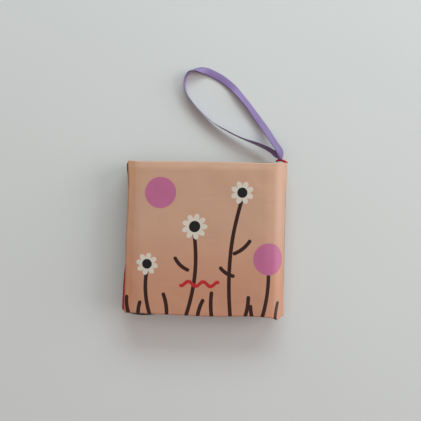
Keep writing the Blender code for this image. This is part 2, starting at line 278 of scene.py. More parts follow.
def smooth_table(table, places):
    """Value of a table of (place, value) at each place, on a smooth curve through its points."""
    xs, ys = (np.array(column, float) for column in zip(*table))
    slopes = np.gradient(ys, xs)
    places = np.clip(places, xs[0], xs[-1])
    index = np.clip(np.searchsorted(xs, places) - 1, 0, len(xs) - 2)
    step = xs[index + 1] - xs[index]
    t = (places - xs[index]) / step
    return (
        (2 * t**3 - 3 * t**2 + 1) * ys[index]
        + (t**3 - 2 * t**2 + t) * step * slopes[index]
        + (3 * t**2 - 2 * t**3) * ys[index + 1]
        + (t**3 - t**2) * step * slopes[index + 1]
    )


def quarter_round(share):
    share = np.clip(share, 0, 1)
    return np.sqrt(1 - (1 - share) ** 2)


def soft_ramp(share, softness):
    """Rises evenly to 1 and turns level there over a short bend."""
    share = np.maximum(share, 0)
    bend = 1 - (1 + softness - share) ** 2 / (4 * softness)
    return np.where(share < 1 - softness, share, np.where(share < 1 + softness, bend, 1))


def bell(places, centre, width):
    return np.exp(-(((places - centre) / width) ** 2))


def noise_grid(x, y, size, seed):
    """Smooth noise of this grain over a grid of places."""
    values = [noise.noise(Vector((a / size, b / size, seed))) for a, b in zip(x.ravel(), y.ravel())]
    return np.array(values).reshape(x.shape)


# Pages: each face is a grid of rows, from open edge to fold, and columns, from bottom to top

TUCK_INSETS = (0.00028, 0.00008)
TUCK_SHARES = (0.12, 0.5)
EDGE_STEPS = (0, 0.00012, 0.0003, 0.0006, 0.001, 0.0015, 0.0021, 0.0028, 0.0036)


def edge_distances(length, spacing):
    """Distances from a seam at which the cloth has its points, out to this length."""
    rest = np.linspace(EDGE_STEPS[-1], length, max(int((length - EDGE_STEPS[-1]) / spacing), 2) + 1)
    return np.array([*EDGE_STEPS, *rest[1:]])


def tucked(count, inside, ends, both):
    """A value for each of so many rows, with other values at the first end, or at both."""
    values = np.full(count, float(inside))
    values[: len(ends)] = ends
    if both:
        values[-len(ends):] = ends[::-1]
    return values


class PageGrid:
    """Rows and columns of a page's face, with how far each point is tucked in at the seams."""

    def __init__(self, spacing, fan_steps):
        flat = edge_distances(FLAT_LENGTH, spacing)
        fan = 1 + np.arange(1, fan_steps + 1) / fan_steps
        rows = np.concatenate([[0, 0], flat / FLAT_LENGTH, fan])
        half_columns = np.concatenate([[0, 0], edge_distances(FORE_HEIGHT / 2, spacing)])
        across = np.concatenate([half_columns, half_columns[-2::-1]])
        signs = np.concatenate([-np.ones(len(half_columns)), np.ones(len(half_columns) - 1)])
        tuck_rows = tucked(len(rows), 1, TUCK_SHARES, False)
        tuck_columns = tucked(len(across), 1, TUCK_SHARES, True)
        shape = (len(rows), len(across))
        self.row = np.broadcast_to(rows[:, None], shape)
        self.edge = np.broadcast_to(across[None, :], shape)
        self.across = signs[None, :] * (1 - self.edge / (FORE_HEIGHT / 2)) * np.ones(shape)
        self.tuck = np.minimum(tuck_rows[:, None], tuck_columns[None, :])
        self.row_inset = np.broadcast_to(tucked(len(rows), 0, TUCK_INSETS, False)[:, None], shape)
        self.end_inset = np.broadcast_to(tucked(len(across), 0, TUCK_INSETS, True)[None, :], shape)
        self.fan = np.clip(self.row - 1, 0, 1)
        self.fore = np.minimum(self.row, 1) * FLAT_LENGTH


class EvenGrid:
    """Evenly spaced rows and columns over the flat part of a page, without tucked seams."""

    def __init__(self, spacing):
        rows = np.linspace(0, 1, round(FLAT_LENGTH / spacing) + 1)
        across = np.linspace(-1, 1, round(FORE_HEIGHT / spacing) + 1)
        self.row, self.across = np.meshgrid(rows, across, indexing="ij")
        self.edge = (1 - np.abs(self.across)) * FORE_HEIGHT / 2
        self.fore = self.row * FLAT_LENGTH
        self.tuck = np.ones(self.row.shape)
        self.row_inset = self.end_inset = self.fan = np.zeros(self.row.shape)


def flat_x(grid, outline):
    """X from the axis, from the open edge's outline to the start of the fold."""
    fore = -BOOK_WIDTH - MM * smooth_table(outline["fore"], grid.across)
    return fore + (-SPINE_RADIUS - fore) * np.minimum(grid.row, 1)


def flat_places(grid, outline):
    """X and Y of each point of a page's flat part, from its nominal outline."""
    return AXIS.x + flat_x(grid, outline), grid.across * FORE_HEIGHT / 2


def web_face(flat_z, angle):
    """A face that runs flat and then bends into the spine seam at this angle above -X."""
    outward = np.array((-cos(angle), sin(angle)))
    start = np.array((-SPINE_RADIUS, flat_z))
    end = WEB_RADIUS * outward
    first = start + (FIRST_HANDLE, 0)
    last = end + LAST_HANDLE * outward

    def face(grid, outline):
        t = grid.fan[..., None]
        s = 1 - t
        bend = s**3 * start + 3 * s**2 * t * first + 3 * s * t**2 * last + t**3 * end
        flat = np.stack([flat_x(grid, outline), np.full(grid.row.shape, flat_z)], -1)
        return np.where(grid.row[..., None] <= 1, flat, bend)

    return face


def fold_lean(across, height):
    """How far the fold leans out at this height from the axis. Its two halves mirror, so open covers stay clear."""
    nose = np.sin(pi / 2 * np.clip(height / FOLD_NOSE, -1, 1))
    past = np.maximum(np.abs(height) - FOLD_NOSE, 0) / FOLD_SPREAD
    return MM * smooth_table(FOLD_LEAN, across) * nose * np.exp(-(past**2))


def spine_face(side, crown):
    """A cover's outer face: flat, then a quarter round to the fold. Side is 1 above and -1 below."""
    end_angle = acos(FOLD_GAP / SPINE_RADIUS)
    bend_start = 1 - DROOP_LENGTH / FLAT_LENGTH
    droop = DROOP if side > 0 else 0
    start_angle = 2 * droop / DROOP_LENGTH

    def face(grid, outline):
        middle = 1 - grid.across**2
        row = np.minimum(grid.row, 1)
        sunk = droop * np.clip((row - bend_start) / (1 - bend_start), 0, 1) ** 2
        drop = crown * (1 - middle * (1 - (1 - row) ** 2)) + sunk
        flat = np.stack([flat_x(grid, outline), side * (SPINE_RADIUS - drop)], -1)
        angle = start_angle + grid.fan * (end_angle - start_angle)
        radius = SPINE_RADIUS - crown * grid.across**2 * (1 - grid.fan)
        lean = fold_lean(grid.across, side * radius * np.cos(angle))
        x = -SPINE_RADIUS + radius * (np.sin(angle) - sin(start_angle) * (1 - grid.fan))
        x += lean - FOLD_ROOM * grid.fan * (1 + 4 * grid.across**8)
        rest = (droop - SPINE_RADIUS * (1 - cos(start_angle))) * (1 - grid.fan)
        arc = np.stack([x, side * (radius * np.cos(angle) - rest)], -1)
        return np.where(grid.row[..., None] <= 1, flat, arc)

    return face


def end_place(along, across, outline):
    """Y of a point this share of the width from the open edge."""
    bottom, top = (smooth_table(outline[end], along) for end in ("bottom", "top"))
    reach = np.where(across < 0, bottom, top)
    half = (FORE_HEIGHT + (SPINE_HEIGHT - FORE_HEIGHT) * along) / 2
    return across * half + np.sign(across) * MM * reach * across**4


def rounded_corner(fore, edge, radius):
    """How far points at these distances from two seams move in, so that the corner is round."""
    u = np.clip(1 - fore / radius, 0, 1)
    v = np.clip(1 - edge / radius, 0, 1)
    return (
        radius * (u - u * np.sqrt(1 - v**2 / 2)),
        radius * (v - v * np.sqrt(1 - u**2 / 2)),
    )


def page_points(grid, own, other, outline, rise, corner, drift):
    """Points of one face of a pillow: from the seam line it rises out to its own face."""
    face = own(grid, outline)
    back = other(grid, outline)
    middle = (face + back) / 2
    half = face - middle
    rise = rise + (1 - rise) * grid.fan
    tuck = grid.tuck + (1 - grid.tuck) * grid.fan
    least = np.minimum(SEAM_HALF / np.linalg.norm(half, axis=-1), 1)
    place = middle + half * (tuck * (least + (1 - least) * rise))[..., None]
    place[..., 1] += drift * (1 - rise)
    corner_x, corner_y = rounded_corner(grid.fore, grid.edge, corner)
    along = np.clip((place[..., 0] + BOOK_WIDTH) / BOOK_WIDTH, 0, 1)
    x = place[..., 0] + grid.row_inset + corner_x
    y = end_place(along, grid.across, outline)
    y -= np.sign(grid.across) * (grid.end_inset * (1 - grid.fan) + corner_y)
    return np.stack([AXIS.x + x, y, AXIS.z + place[..., 1]], -1)


def unrolled(points, grid):
    """Place of each point on the cloth laid flat: along the cloth from the open edge, and its height."""
    steps = np.linalg.norm(np.diff(points[:, :, (0, 2)], axis=0), axis=-1)
    run = np.concatenate([[0], np.cumsum(steps[:, steps.shape[1] // 2])])
    run += points[0, points.shape[1] // 2, 0]
    u = np.broadcast_to(run[:, None], grid.row.shape)
    return np.stack([u, grid.across * FORE_HEIGHT / 2], -1)


def seam_drift(grid, x, y, reach, seed):
    """How far the seams of a page wander up and down, fading towards the fold."""
    wander = noise_grid(x, y, 0.021, seed) + 0.5 * noise_grid(x, y, 0.009, seed + 4)
    return reach * wander * np.clip((1 - grid.row) / 0.12, 0, 1)


def leaf_heights(index):
    """Heights from the axis of the front and rear face of a leaf, counted from 0 under the front cover."""
    front = SPINE_RADIUS - COVER_THICKNESS - PAGE_GAP - index * (LEAF_THICKNESS + PAGE_GAP)
    return front, front - LEAF_THICKNESS


def web_angle(layer_top):
    return (WEB_STACK / 2 - layer_top) / WEB_RADIUS


# Meshes


def new_object(name, data):
    obj = bpy.data.objects.new(name, data)
    bpy.context.scene.collection.objects.link(obj)
    return obj


def mesh_object(name, bm):
    """An object in the scene with this mesh, shaded smooth."""
    mesh = bpy.data.meshes.new(name)
    bm.to_mesh(mesh)
    bm.free()
    mesh.shade_smooth()
    return new_object(name, mesh)


def add_grid(bm, points, upward):
    """Adds a sheet through a grid of points, and gives the row and column of each of its vertices."""
    rows, columns = points.shape[:2]
    verts = bmesh.ops.create_grid(bm, x_segments=rows - 1, y_segments=columns - 1, size=1)["verts"]
    index = {}
    for vert in verts:
        i = round((vert.co.x + 1) / 2 * (rows - 1))
        j = round((vert.co.y + 1) / 2 * (columns - 1))
        index[vert] = (i, j)
        vert.co = points[i, j]
    if not upward:
        faces = {face for vert in verts for face in vert.link_faces}
        bmesh.ops.reverse_faces(bm, faces=list(faces))
    return index


def cloth_sheet(name, points, places, upward, thickness, offset=-1):
    """A sheet through a grid of points, with the cloth's own flat places as its UV map, made solid."""
    bm = bmesh.new()
    layer = bm.loops.layers.uv.new("Cloth")
    index = add_grid(bm, points, upward)
    for face in bm.faces:
        for loop in face.loops:
            loop[layer].uv = places[index[loop.vert]]
    obj = mesh_object(name, bm)
    solidify = obj.modifiers.new("Cloth thickness", "SOLIDIFY")
    solidify.thickness = thickness
    solidify.offset = offset
    return obj


def closed_pad(name, upper, lower):
    """Two grids of points with a common rim, joined into one closed pad."""
    bm = bmesh.new()
    add_grid(bm, upper, True)
    add_grid(bm, lower, False)
    bmesh.ops.remove_doubles(bm, verts=bm.verts, dist=WELD)
    return mesh_object(name, bm)


def closed_bar(name, rings):
    """A bar with closed ends through rings of points."""
    bm = bmesh.new()
    rings = [[bm.verts.new(point) for point in ring] for ring in rings]
    for near, far in zip(rings, rings[1:]):
        for k in range(len(near)):
            after = (k + 1) % len(near)
            bm.faces.new((near[k], near[after], far[after], far[k]))
    bm.faces.new(rings[0])
    bm.faces.new(rings[-1])
    bmesh.ops.recalc_face_normals(bm, faces=bm.faces)
    return mesh_object(name, bm)


def thread_bar(name, path, radii, sides):
    """A round bar along a path of points."""
    ahead = np.gradient(path, axis=0)
    ahead /= np.linalg.norm(ahead, axis=1)[:, None]
    side = np.cross(ahead, (0, 0, 1))
    side /= np.linalg.norm(side, axis=1)[:, None]
    up = np.cross(side, ahead)
    angles = np.arange(sides) * 2 * pi / sides
    radii = np.broadcast_to(radii, (len(path),))
    rings = [
        [point + radius * (cos(angle) * across + sin(angle) * rise) for angle in angles]
        for point, across, rise, radius in zip(path, side, up, radii)
    ]
    return closed_bar(name, rings)


# Filling: each page is blown up once as real cloth, held at its seams, and its faces take the puckers of that


def page_bag(upper, lower):
    """A closed mesh of a page's two faces, given as grids of points, and the numbers of its seam points."""
    rows, columns = upper.shape[:2]
    bm = bmesh.new()
    tops, bottoms = ([[bm.verts.new(point) for point in row] for row in face] for face in (upper, lower))
    for i in range(rows - 1):
        for j in range(columns - 1):
            square = ((i, j), (i + 1, j), (i + 1, j + 1), (i, j + 1))
            bm.faces.new([tops[a][b] for a, b in square])
            bm.faces.new([bottoms[a][b] for a, b in reversed(square)])
    rim = [(i, 0) for i in range(rows)]
    rim += [(rows - 1, j) for j in range(1, columns)]
    rim += [(i, columns - 1) for i in range(rows - 2, -1, -1)]
    rim += [(0, j) for j in range(columns - 2, 0, -1)]
    for (a, b), (c, d) in zip(rim, rim[1:] + rim[:1]):
        bm.faces.new((tops[a][b], bottoms[a][b], bottoms[c][d], tops[c][d]))
    bmesh.ops.recalc_face_normals(bm, faces=bm.faces)
    seams = [a * columns + b for a, b in rim]
    return mesh_object("Page bag", bm), seams + [rows * columns + number for number in seams]


def mesh_points(mesh):
    places = np.empty(3 * len(mesh.vertices))
    mesh.vertices.foreach_get("co", places)
    return places.reshape(-1, 3)


def filled_moves(upper, lower):
    """How far each point of both faces goes up when the page is blown up as cloth a little too large for it."""
    cloth = settings("cloth")
    scene = bpy.context.scene
    bag, seams = page_bag(upper, lower)
    bag.vertex_groups.new(name="Seams").add(seams, 1.0, "REPLACE")
    fill = bag.modifiers.new("Fill", "CLOTH")
    fill.settings.vertex_group_mass = "Seams"
    fill.settings.use_pressure = True
    fill.settings.uniform_pressure_force = cloth.fill_pressure
    fill.settings.shrink_min = -cloth.spare_cloth
    fill.settings.effector_weights.gravity = 0
    fill.point_cache.frame_end = FILL_FRAMES
    for step in range(1, FILL_FRAMES + 1):
        scene.frame_set(step)
    mesh = bag.data
    blown = bag.evaluated_get(bpy.context.evaluated_depsgraph_get())
    moves = mesh_points(blown.to_mesh()) - mesh_points(mesh)
    blown.to_mesh_clear()
    bpy.data.objects.remove(bag)
    bpy.data.meshes.remove(mesh)
    scene.frame_set(1)
    return moves[:, 2].reshape(2, *upper.shape[:2])


def spline_weight(distance):
    d = np.abs(distance)
    return np.where(d < 1, 2 / 3 - d**2 + d**3 / 2, np.clip(2 - d, 0, 1) ** 3 / 6)


def spread(moves, grid):
    """Moves of the even grid at the points of another, on a smooth surface."""
    rows, columns = moves.shape
    place_row = np.minimum(grid.row, 1) * (rows - 1)
    place_column = (grid.across + 1) / 2 * (columns - 1)
    base_row, base_column = np.floor(place_row).astype(int), np.floor(place_column).astype(int)
    total = np.zeros(grid.row.shape)
    for i in range(-1, 3):
        for j in range(-1, 3):
            weight = spline_weight(place_row - base_row - i) * spline_weight(place_column - base_column - j)
            near_row = np.clip(base_row + i, 0, rows - 1)
            near_column = np.clip(base_column + j, 0, columns - 1)
            total += weight * moves[near_row, near_column]
    return total


def pucker(moves, grid, side, gain, outer, inner):
    """Upward moves of a face about its level, softly held between its outer and inner limits."""
    out = side * gain * spread(moves - np.median(moves), grid)
    limit = np.where(out > 0, outer, inner)
    fade = quarter_round(np.minimum(grid.fore, grid.edge) / PUCKER_FADE) * (1 - grid.fan)
    return side * limit * np.tanh(out / limit) * fade


# Shader building


class Tree:
    """Adds nodes to a shader tree, each socket given as a link or a plain value."""

    def __init__(self, tree):
        self.tree = tree

    def feed(self, socket, value):
        if isinstance(value, bpy.types.NodeSocket):
            self.tree.links.new(value, socket)
        else:
            socket.default_value = value

    def add(self, kind, inputs=(), **options):
        node = self.tree.nodes.new(kind)
        for key, value in options.items():
            setattr(node, key, value)
        for key, value in dict(inputs).items():
            self.feed(node.inputs[key], value)
        return node

    def math(self, operation, *values, clamp=False):
        return self.add("ShaderNodeMath", enumerate(values), operation=operation, use_clamp=clamp).outputs[0]

    def plus(self, first, second):
        return self.math("ADD", first, second)

    def minus(self, first, second):
        return self.math("SUBTRACT", first, second)

    def times(self, first, second):
        return self.math("MULTIPLY", first, second)

    def over(self, first, second):
        return self.math("DIVIDE", first, second)

    def level(self, value, gain, base):
        return self.math("MULTIPLY_ADD", value, gain, base)

    def absolute(self, value):
        return self.math("ABSOLUTE", value)

    def wave(self, value, length):
        """Sine that repeats at each length."""
        return self.math("SINE", self.times(value, 2 * pi / length))

    def vector(self, operation, *values):
        node = self.add("ShaderNodeVectorMath", enumerate(values), operation=operation)
        number = operation in ("DISTANCE", "LENGTH", "DOT_PRODUCT")
        return node.outputs["Value" if number else "Vector"]

    def scaled(self, vector, factor):
        node = self.add("ShaderNodeVectorMath", {"Vector": vector, "Scale": factor}, operation="SCALE")
        return node.outputs["Vector"]

    def split(self, vector):
        node = self.add("ShaderNodeSeparateXYZ", {"Vector": vector})
        return node.outputs["X"], node.outputs["Y"]

    def height(self, vector):
        return self.add("ShaderNodeSeparateXYZ", {"Vector": vector}).outputs["Z"]

    def join(self, x, y):
        return self.add("ShaderNodeCombineXYZ", {"X": x, "Y": y}).outputs[0]

    def object_place(self):
        """Place on the object."""
        return self.add("ShaderNodeTexCoord").outputs["Object"]

    def flat_place(self):
        """Place on the cloth laid flat."""
        return self.add("ShaderNodeUVMap", uv_map="Cloth").outputs[0]

    def grain(self, place, scale, **inputs):
        """Smooth noise."""
        return self.add("ShaderNodeTexNoise", {"Vector": place, "Scale": scale, **inputs}).outputs["Fac"]

    def ramp(self, value, low, high):
        """Smooth rise from 0 at the low value to 1 at the high one."""
        inputs = {"Value": value, "From Min": low, "From Max": high}
        return self.add("ShaderNodeMapRange", inputs, interpolation_type="SMOOTHSTEP").outputs[0]

    def inside(self, distance, limit):
        """1 where the distance is under the limit and 0 outside, fading over the blur of the print."""
        inputs = {"Value": self.minus(distance, limit), "From Min": PRINT_BLUR, "From Max": -PRINT_BLUR}
        return self.add("ShaderNodeMapRange", inputs).outputs[0]

    def mix(self, factor, first, second):
        node = self.add("ShaderNodeMix", {0: factor}, data_type="RGBA", clamp_factor=True)
        for socket, colour in ((6, first), (7, second)):
            self.feed(node.inputs[socket], colour if isinstance(colour, bpy.types.NodeSocket) else (*colour, 1))
        return node.outputs[2]

    def group(self, name, inputs):
        """Outputs of a shader group, which is built when it is first placed."""
        if name not in bpy.data.node_groups:
            GROUP_MAKERS[name]()
        return self.add("ShaderNodeGroup", inputs, node_tree=bpy.data.node_groups[name]).outputs


# Shader groups

ORIGIN = (0.0, 0.0, 0.0)
GREY = (0.5, 0.5, 0.5, 1.0)
REPEAT = {"Step": 10.0, "Shift": 0.0}

# Printed part of a page, on the cloth laid flat, and the blur of its edges
PRINT_CENTRE = -0.0085
PRINT_HALF_WIDTH = 0.0473
PRINT_HALF_HEIGHT = 0.0576
PRINT_BLUR = 0.00008


def new_group(name, inputs, outputs):
    """An empty shader group, given the default of each input and output by name."""
    group = bpy.data.node_groups.new(name, "ShaderNodeTree")
    for way, sockets in (("INPUT", inputs), ("OUTPUT", outputs)):
        for label, default in sockets.items():
            kind = "Float" if isinstance(default, float) else "Vector" if len(default) == 3 else "Color"
            socket = group.interface.new_socket(name=label, in_out=way, socket_type=f"NodeSocket{kind}")
            socket.default_value = default
    tree = Tree(group)
    return tree, tree.add("NodeGroupInput").outputs, tree.add("NodeGroupOutput").inputs


def new_mark(name, inputs):
    """An empty group for a printed mark, which gives its mask at a place on the cloth."""
    return new_group(name, {"Place": ORIGIN, **inputs}, {"Mask": 0.0})


def make_weave():
    """Plain weave: threads that pass over and under each other, with painted shade between them."""
    tree, given, result = new_group("Plain Weave", {"Place": ORIGIN, "Pitch": 0.00034}, {"Height": 0.0, "Shade": 0.0})
    counted = tree.scaled(given["Place"], tree.over(1.0, given["Pitch"]))
    warp, weft = (tree.absolute(tree.wave(part, 2)) for part in tree.split(counted))
    above = tree.add("ShaderNodeTexChecker", {"Vector": counted, "Scale": 1.0}).outputs["Fac"]
    threads = [
        tree.times(thread, tree.level(share, 0.45, 0.55))
        for thread, share in ((warp, above), (weft, tree.minus(1.0, above)))
    ]
    height = tree.math("MAXIMUM", *threads)
    tree.feed(result["Height"], height)
    # Shade: painted shade, darker between the threads
    tree.feed(result["Shade"], tree.level(height, 0.09, 0.93))


def make_mottle():
    """Uneven dye: broad faint patches that warm and cool the cloth."""
    tree, given, result = new_group(
        "Cloth Mottle", {"Colour": GREY, "Place": ORIGIN, "Grain": 60.0, "Strength": 0.1}, {"Colour": GREY}
    )
    place = given["Place"]
    patch, swing = (
        tree.times(tree.minus(tree.grain(at, given["Grain"], Detail=detail), 0.5), given["Strength"])
        for at, detail in ((place, 3.0), (tree.vector("ADD", place, (3.1, 1.7, 0.4)), 2.0))
    )
    dye = {
        "Hue": tree.level(swing, 0.12, 0.5),
        "Saturation": tree.level(swing, 1.2, 1.0),
        "Value": tree.level(patch, 2.0, 1.0),
        "Color": given["Colour"],
    }
    tree.feed(result["Colour"], tree.add("ShaderNodeHueSaturation", dye).outputs[0])


def make_painted_shade():
    """Ground with painted shade: darker down the cloth, and darker again over the sloping band along the open edge."""
    tree, given, result = new_group(
        "Painted Ground Shade",
        {"Place": ORIGIN, "Upper": GREY, "Lower": GREY, "Height": 0.06, "Edge": -0.064, "Shade Band": 0.008},
        {"Colour": GREY},
    )
    height, shade_band = given["Height"], given["Shade Band"]
    x, y = tree.split(given["Place"])
    # Painted shade: the ground darkens from the upper to the lower colour down the cloth
    up = tree.ramp(y, tree.times(height, -0.75), tree.times(height, 0.3))
    ground = tree.mix(up, given["Lower"], given["Upper"])
    # Painted shade over the sloping band along the open edge, where less light falls
    edge_band = tree.ramp(tree.minus(x, given["Edge"]), shade_band, tree.times(shade_band, 0.8))
    edge_shaded = tree.vector("MULTIPLY", ground, (0.95, 0.86, 0.78))
    tree.feed(result["Colour"], tree.mix(edge_band, ground, edge_shaded))


def repeated(tree, given):
    """Place measured from the nearest mark of rows that repeat at each step, every second row shifted."""
    x, y = tree.split(tree.vector("SUBTRACT", given["Place"], given["Centre"]))
    step = given["Step"]
    half = tree.times(step, 0.5)
    odd = tree.math("FLOORED_MODULO", tree.math("FLOOR", tree.over(tree.plus(y, half), step)), 2.0)
    moved = tree.plus(x, tree.times(tree.times(odd, given["Shift"]), step))
    tile = [tree.minus(tree.math("FLOORED_MODULO", tree.plus(value, half), step), half) for value in (moved, y)]
    return tree.join(*tile)


def make_disc():
    """A full round mark."""
    tree, given, result = new_mark("Disc Mark", {"Centre": ORIGIN, "Radius": 0.01, **REPEAT})
    distance = tree.vector("LENGTH", repeated(tree, given))
    tree.feed(result["Mask"], tree.inside(distance, given["Radius"]))


def make_ring():
    """An open round mark."""
    tree, given, result = new_mark("Ring Mark", {"Centre": ORIGIN, "Radius": 0.01, "Half Width": 0.001, **REPEAT})
    off = tree.absolute(tree.minus(tree.vector("LENGTH", repeated(tree, given)), given["Radius"]))
    tree.feed(result["Mask"], tree.inside(off, given["Half Width"]))


def make_margin():
    """The printed middle of a page, inside its plain margin."""
    tree, given, result = new_mark(
        "Page Margin", {"Centre": PRINT_CENTRE, "Half Width": PRINT_HALF_WIDTH, "Half Height": PRINT_HALF_HEIGHT}
    )
    x, y = tree.split(given["Place"])
    past = tree.minus(tree.absolute(tree.minus(x, given["Centre"])), given["Half Width"])
    ends = tree.minus(tree.absolute(y), given["Half Height"])
    tree.feed(result["Mask"], tree.inside(tree.math("MAXIMUM", past, ends), 0.0))


def make_stroke():
    """A brush stroke with round ends from start to end, bowed sideways by its bow."""
    tree, given, result = new_mark(
        "Stroke Mark", {"Start": ORIGIN, "End": (0.0, 0.01, 0.0), "Bow": 0.0, "Half Width": 0.0015}
    )
    run = tree.vector("SUBTRACT", given["End"], given["Start"])
    here = tree.vector("SUBTRACT", given["Place"], given["Start"])
    products = (tree.vector("DOT_PRODUCT", other, run) for other in (here, run))
    share = tree.math("DIVIDE", *products, clamp=True)
    x, y = tree.split(tree.vector("NORMALIZE", run))
    bend = tree.times(tree.times(share, tree.minus(1.0, share)), 4.0)
    bowed = tree.scaled(tree.join(tree.times(y, -1.0), x), tree.times(bend, given["Bow"]))
    nearest = tree.vector("ADD", tree.scaled(run, share), bowed)
    tree.feed(result["Mask"], tree.inside(tree.vector("DISTANCE", here, nearest), given["Half Width"]))


def make_daisy():
    """Rounded petals about a centre."""
    tree, given, result = new_mark(
        "Daisy Mark", {"Centre": ORIGIN, "Radius": 0.01, "Petals": 8.0, "Turn": 0.0, **REPEAT}
    )
    here = repeated(tree, given)
    x, y = tree.split(here)
    angle = tree.plus(tree.math("ARCTAN2", y, x), given["Turn"])
    petals = tree.math("COSINE", tree.times(tree.times(angle, given["Petals"]), 0.5))
    lobe = tree.math("POWER", tree.absolute(petals), 0.6)
    limit = tree.times(given["Radius"], tree.level(lobe, 0.48, 0.52))
    tree.feed(result["Mask"], tree.inside(tree.vector("LENGTH", here), limit))


def make_wave():
    """A level line that waves between two ends."""
    tree, given, result = new_mark(
        "Wave Mark",
        {"Centre": ORIGIN, "Half Length": 0.015, "Wave Length": 0.01, "Wave Height": 0.002, "Half Width": 0.0014},
    )
    length, height = given["Wave Length"], given["Wave Height"]
    x, y = tree.split(tree.vector("SUBTRACT", given["Place"], given["Centre"]))
    phase = tree.times(tree.over(x, length), 2 * pi)
    line = tree.times(tree.math("SINE", phase), height)
    slope = tree.times(tree.math("COSINE", phase), tree.times(tree.over(height, length), 2 * pi))
    lean = tree.math("SQRT", tree.level(slope, slope, 1.0))
    past = tree.math("MAXIMUM", tree.minus(tree.absolute(x), given["Half Length"]), 0.0)
    off = tree.vector("LENGTH", tree.join(past, tree.over(tree.minus(y, line), lean)))
    tree.feed(result["Mask"], tree.inside(off, given["Half Width"]))


GROUP_MAKERS = {
    "Plain Weave": make_weave,
    "Cloth Mottle": make_mottle,
    "Painted Ground Shade": make_painted_shade,
    "Disc Mark": make_disc,
    "Ring Mark": make_ring,
    "Page Margin": make_margin,
    "Stroke Mark": make_stroke,
    "Daisy Mark": make_daisy,
    "Wave Mark": make_wave,
}


# Printed designs

# The garden, in millimetres on the cloth laid flat. Daisies: place, radius, petals and turn
DAISIES = ((-45, -22, 9.0, 8, 0.2), (-7, 9, 10.5, 9, 0.0), (31, 37, 9.5, 8, 0.4))
# Blooms: place and radius
BLOOMS = ((-36, 36, 12.8), (54, -16, 12.8))
# Stems and grass: start, end and bow
STEMS = (
    (-41, -64, -45, -26, 2.5),
    (-13, -64, -7, 3, -4.0),
    (24, -64, 31, 32, 5.0),
    (49, -64, 54, -28, -1.5),
)
GRASS = (
    (-58, -64, -61, -49, 1.0),
    (-51, -64, -50, -53, 0.5),
    (-28, -64, -31, -46, -1.0),
    (-3, -64, 1, -50, 0.8),
    (9, -64, 8, -44, 0.8),
    (35, -64, 38, -47, -0.8),
    (42, -64, 40, -54, 0.4),
    (61, -64, 63, -50, 0.6),
    (-12, -26, -22, -17, 1.2),
    (26, -12, 38, -2, -1.2),
    (25, -30, 15, -24, 1.0),
)
# Red line: place, half length, length and height of its waves
RED_WAVE = (-2, -37, 15, 12, 1.7)
# Open edge of the covers on the cloth laid flat, in metres
FLAT_EDGE = -0.0638
RING_HALF = 0.0019


def flat_spot(x, y):
    """A place on the cloth laid flat, from millimetres."""
    return (x * MM, y * MM, 0)


def mark_print(tree, place, under, colour, mark, sizes):
    """The colour under a mark, with the mark printed on it."""
    return tree.mix(tree.group(mark, {"Place": place, **sizes})["Mask"], under, colour)


def shaded_cover_ground(tree, place, ground):
    """The covers' ground with painted shade, darker towards the bottom and along the open edge."""
    lower = (*settings("cloth").shaded_peach, 1)
    inputs = {"Place": place, "Upper": ground, "Lower": lower, "Edge": FLAT_EDGE}
    return tree.group("Painted Ground Shade", inputs)["Colour"]


def garden_print(tree, place, ground):
    """Three daisies and two round blooms on brown stems over grass, with one red wavy line."""
    look = settings("print")
    # The ground carries painted shade, darker towards the bottom and along the open edge
    colour = shaded_cover_ground(tree, place, ground)
    for x0, y0, x1, y1, bow in STEMS + GRASS:
        sizes = {"Start": flat_spot(x0, y0), "End": flat_spot(x1, y1), "Bow": bow * MM, "Half Width": look.stroke / 2}
        colour = mark_print(tree, place, colour, look.brown, "Stroke Mark", sizes)
    for x, y, radius in BLOOMS:
        sizes = {"Centre": flat_spot(x, y), "Radius": radius * MM}
        colour = mark_print(tree, place, colour, look.mauve, "Disc Mark", sizes)
    for x, y, radius, petals, turn in DAISIES:
        centre = flat_spot(x, y)
        sizes = {"Centre": centre, "Radius": radius * MM, "Petals": petals, "Turn": turn}
        colour = mark_print(tree, place, colour, look.petal, "Daisy Mark", sizes)
        sizes = {"Centre": centre, "Radius": 0.44 * radius * MM}
        colour = mark_print(tree, place, colour, look.heart, "Disc Mark", sizes)
    x, y, reach, wave, height = RED_WAVE
    sizes = {"Centre": flat_spot(x, y), "Half Length": reach * MM, "Wave Length": wave * MM, "Wave Height": height * MM}
    return mark_print(tree, place, colour, look.red, "Wave Mark", sizes)


def page_print(tree, place, ground, mask, colour):
    """The ground with marks of this colour inside the page's margin."""
    margin = tree.group("Page Margin", {"Place": place})["Mask"]
    return tree.mix(tree.times(mask, margin), ground, colour)


def rows_print(tree, place, ground, rows, mark, colour, sizes):
    """Rows of a mark about the middle of the print. Rows gives the step, and the rise and shift as shares of it."""
    step, rise, shift = rows
    inputs = {"Place": place, "Centre": (PRINT_CENTRE, rise * step, 0), "Step": step, "Shift": shift, **sizes}
    return page_print(tree, place, ground, tree.group(mark, inputs)["Mask"], colour)


def dots_print(tree, place, ground, step, radius, dot):
    return rows_print(tree, place, ground, (step, 0.5, 0.5), "Disc Mark", dot, {"Radius": radius})


def rings_print(tree, place, ground, step, rise, radius, ring, core):
    rows = (step, rise, 0.0)
    ringed = rows_print(tree, place, ground, rows, "Ring Mark", ring, {"Radius": radius, "Half Width": RING_HALF})
    return rows_print(tree, place, ringed, rows, "Disc Mark", core, {"Radius": 0.4 * radius})


def daisies_print(tree, place, ground, step, shift, radius, petal, heart):
    rows = (step, shift, shift)
    petals = {"Radius": radius, "Petals": 7.0, "Turn": 0.3}
    flowers = rows_print(tree, place, ground, rows, "Daisy Mark", petal, petals)
    return rows_print(tree, place, flowers, rows, "Disc Mark", heart, {"Radius": 0.36 * radius})


def scattered_print(tree, place, ground, *values):
    """Daisies on the covers' ground, which carries painted shade."""
    return daisies_print(tree, place, shaded_cover_ground(tree, place, ground), *values)


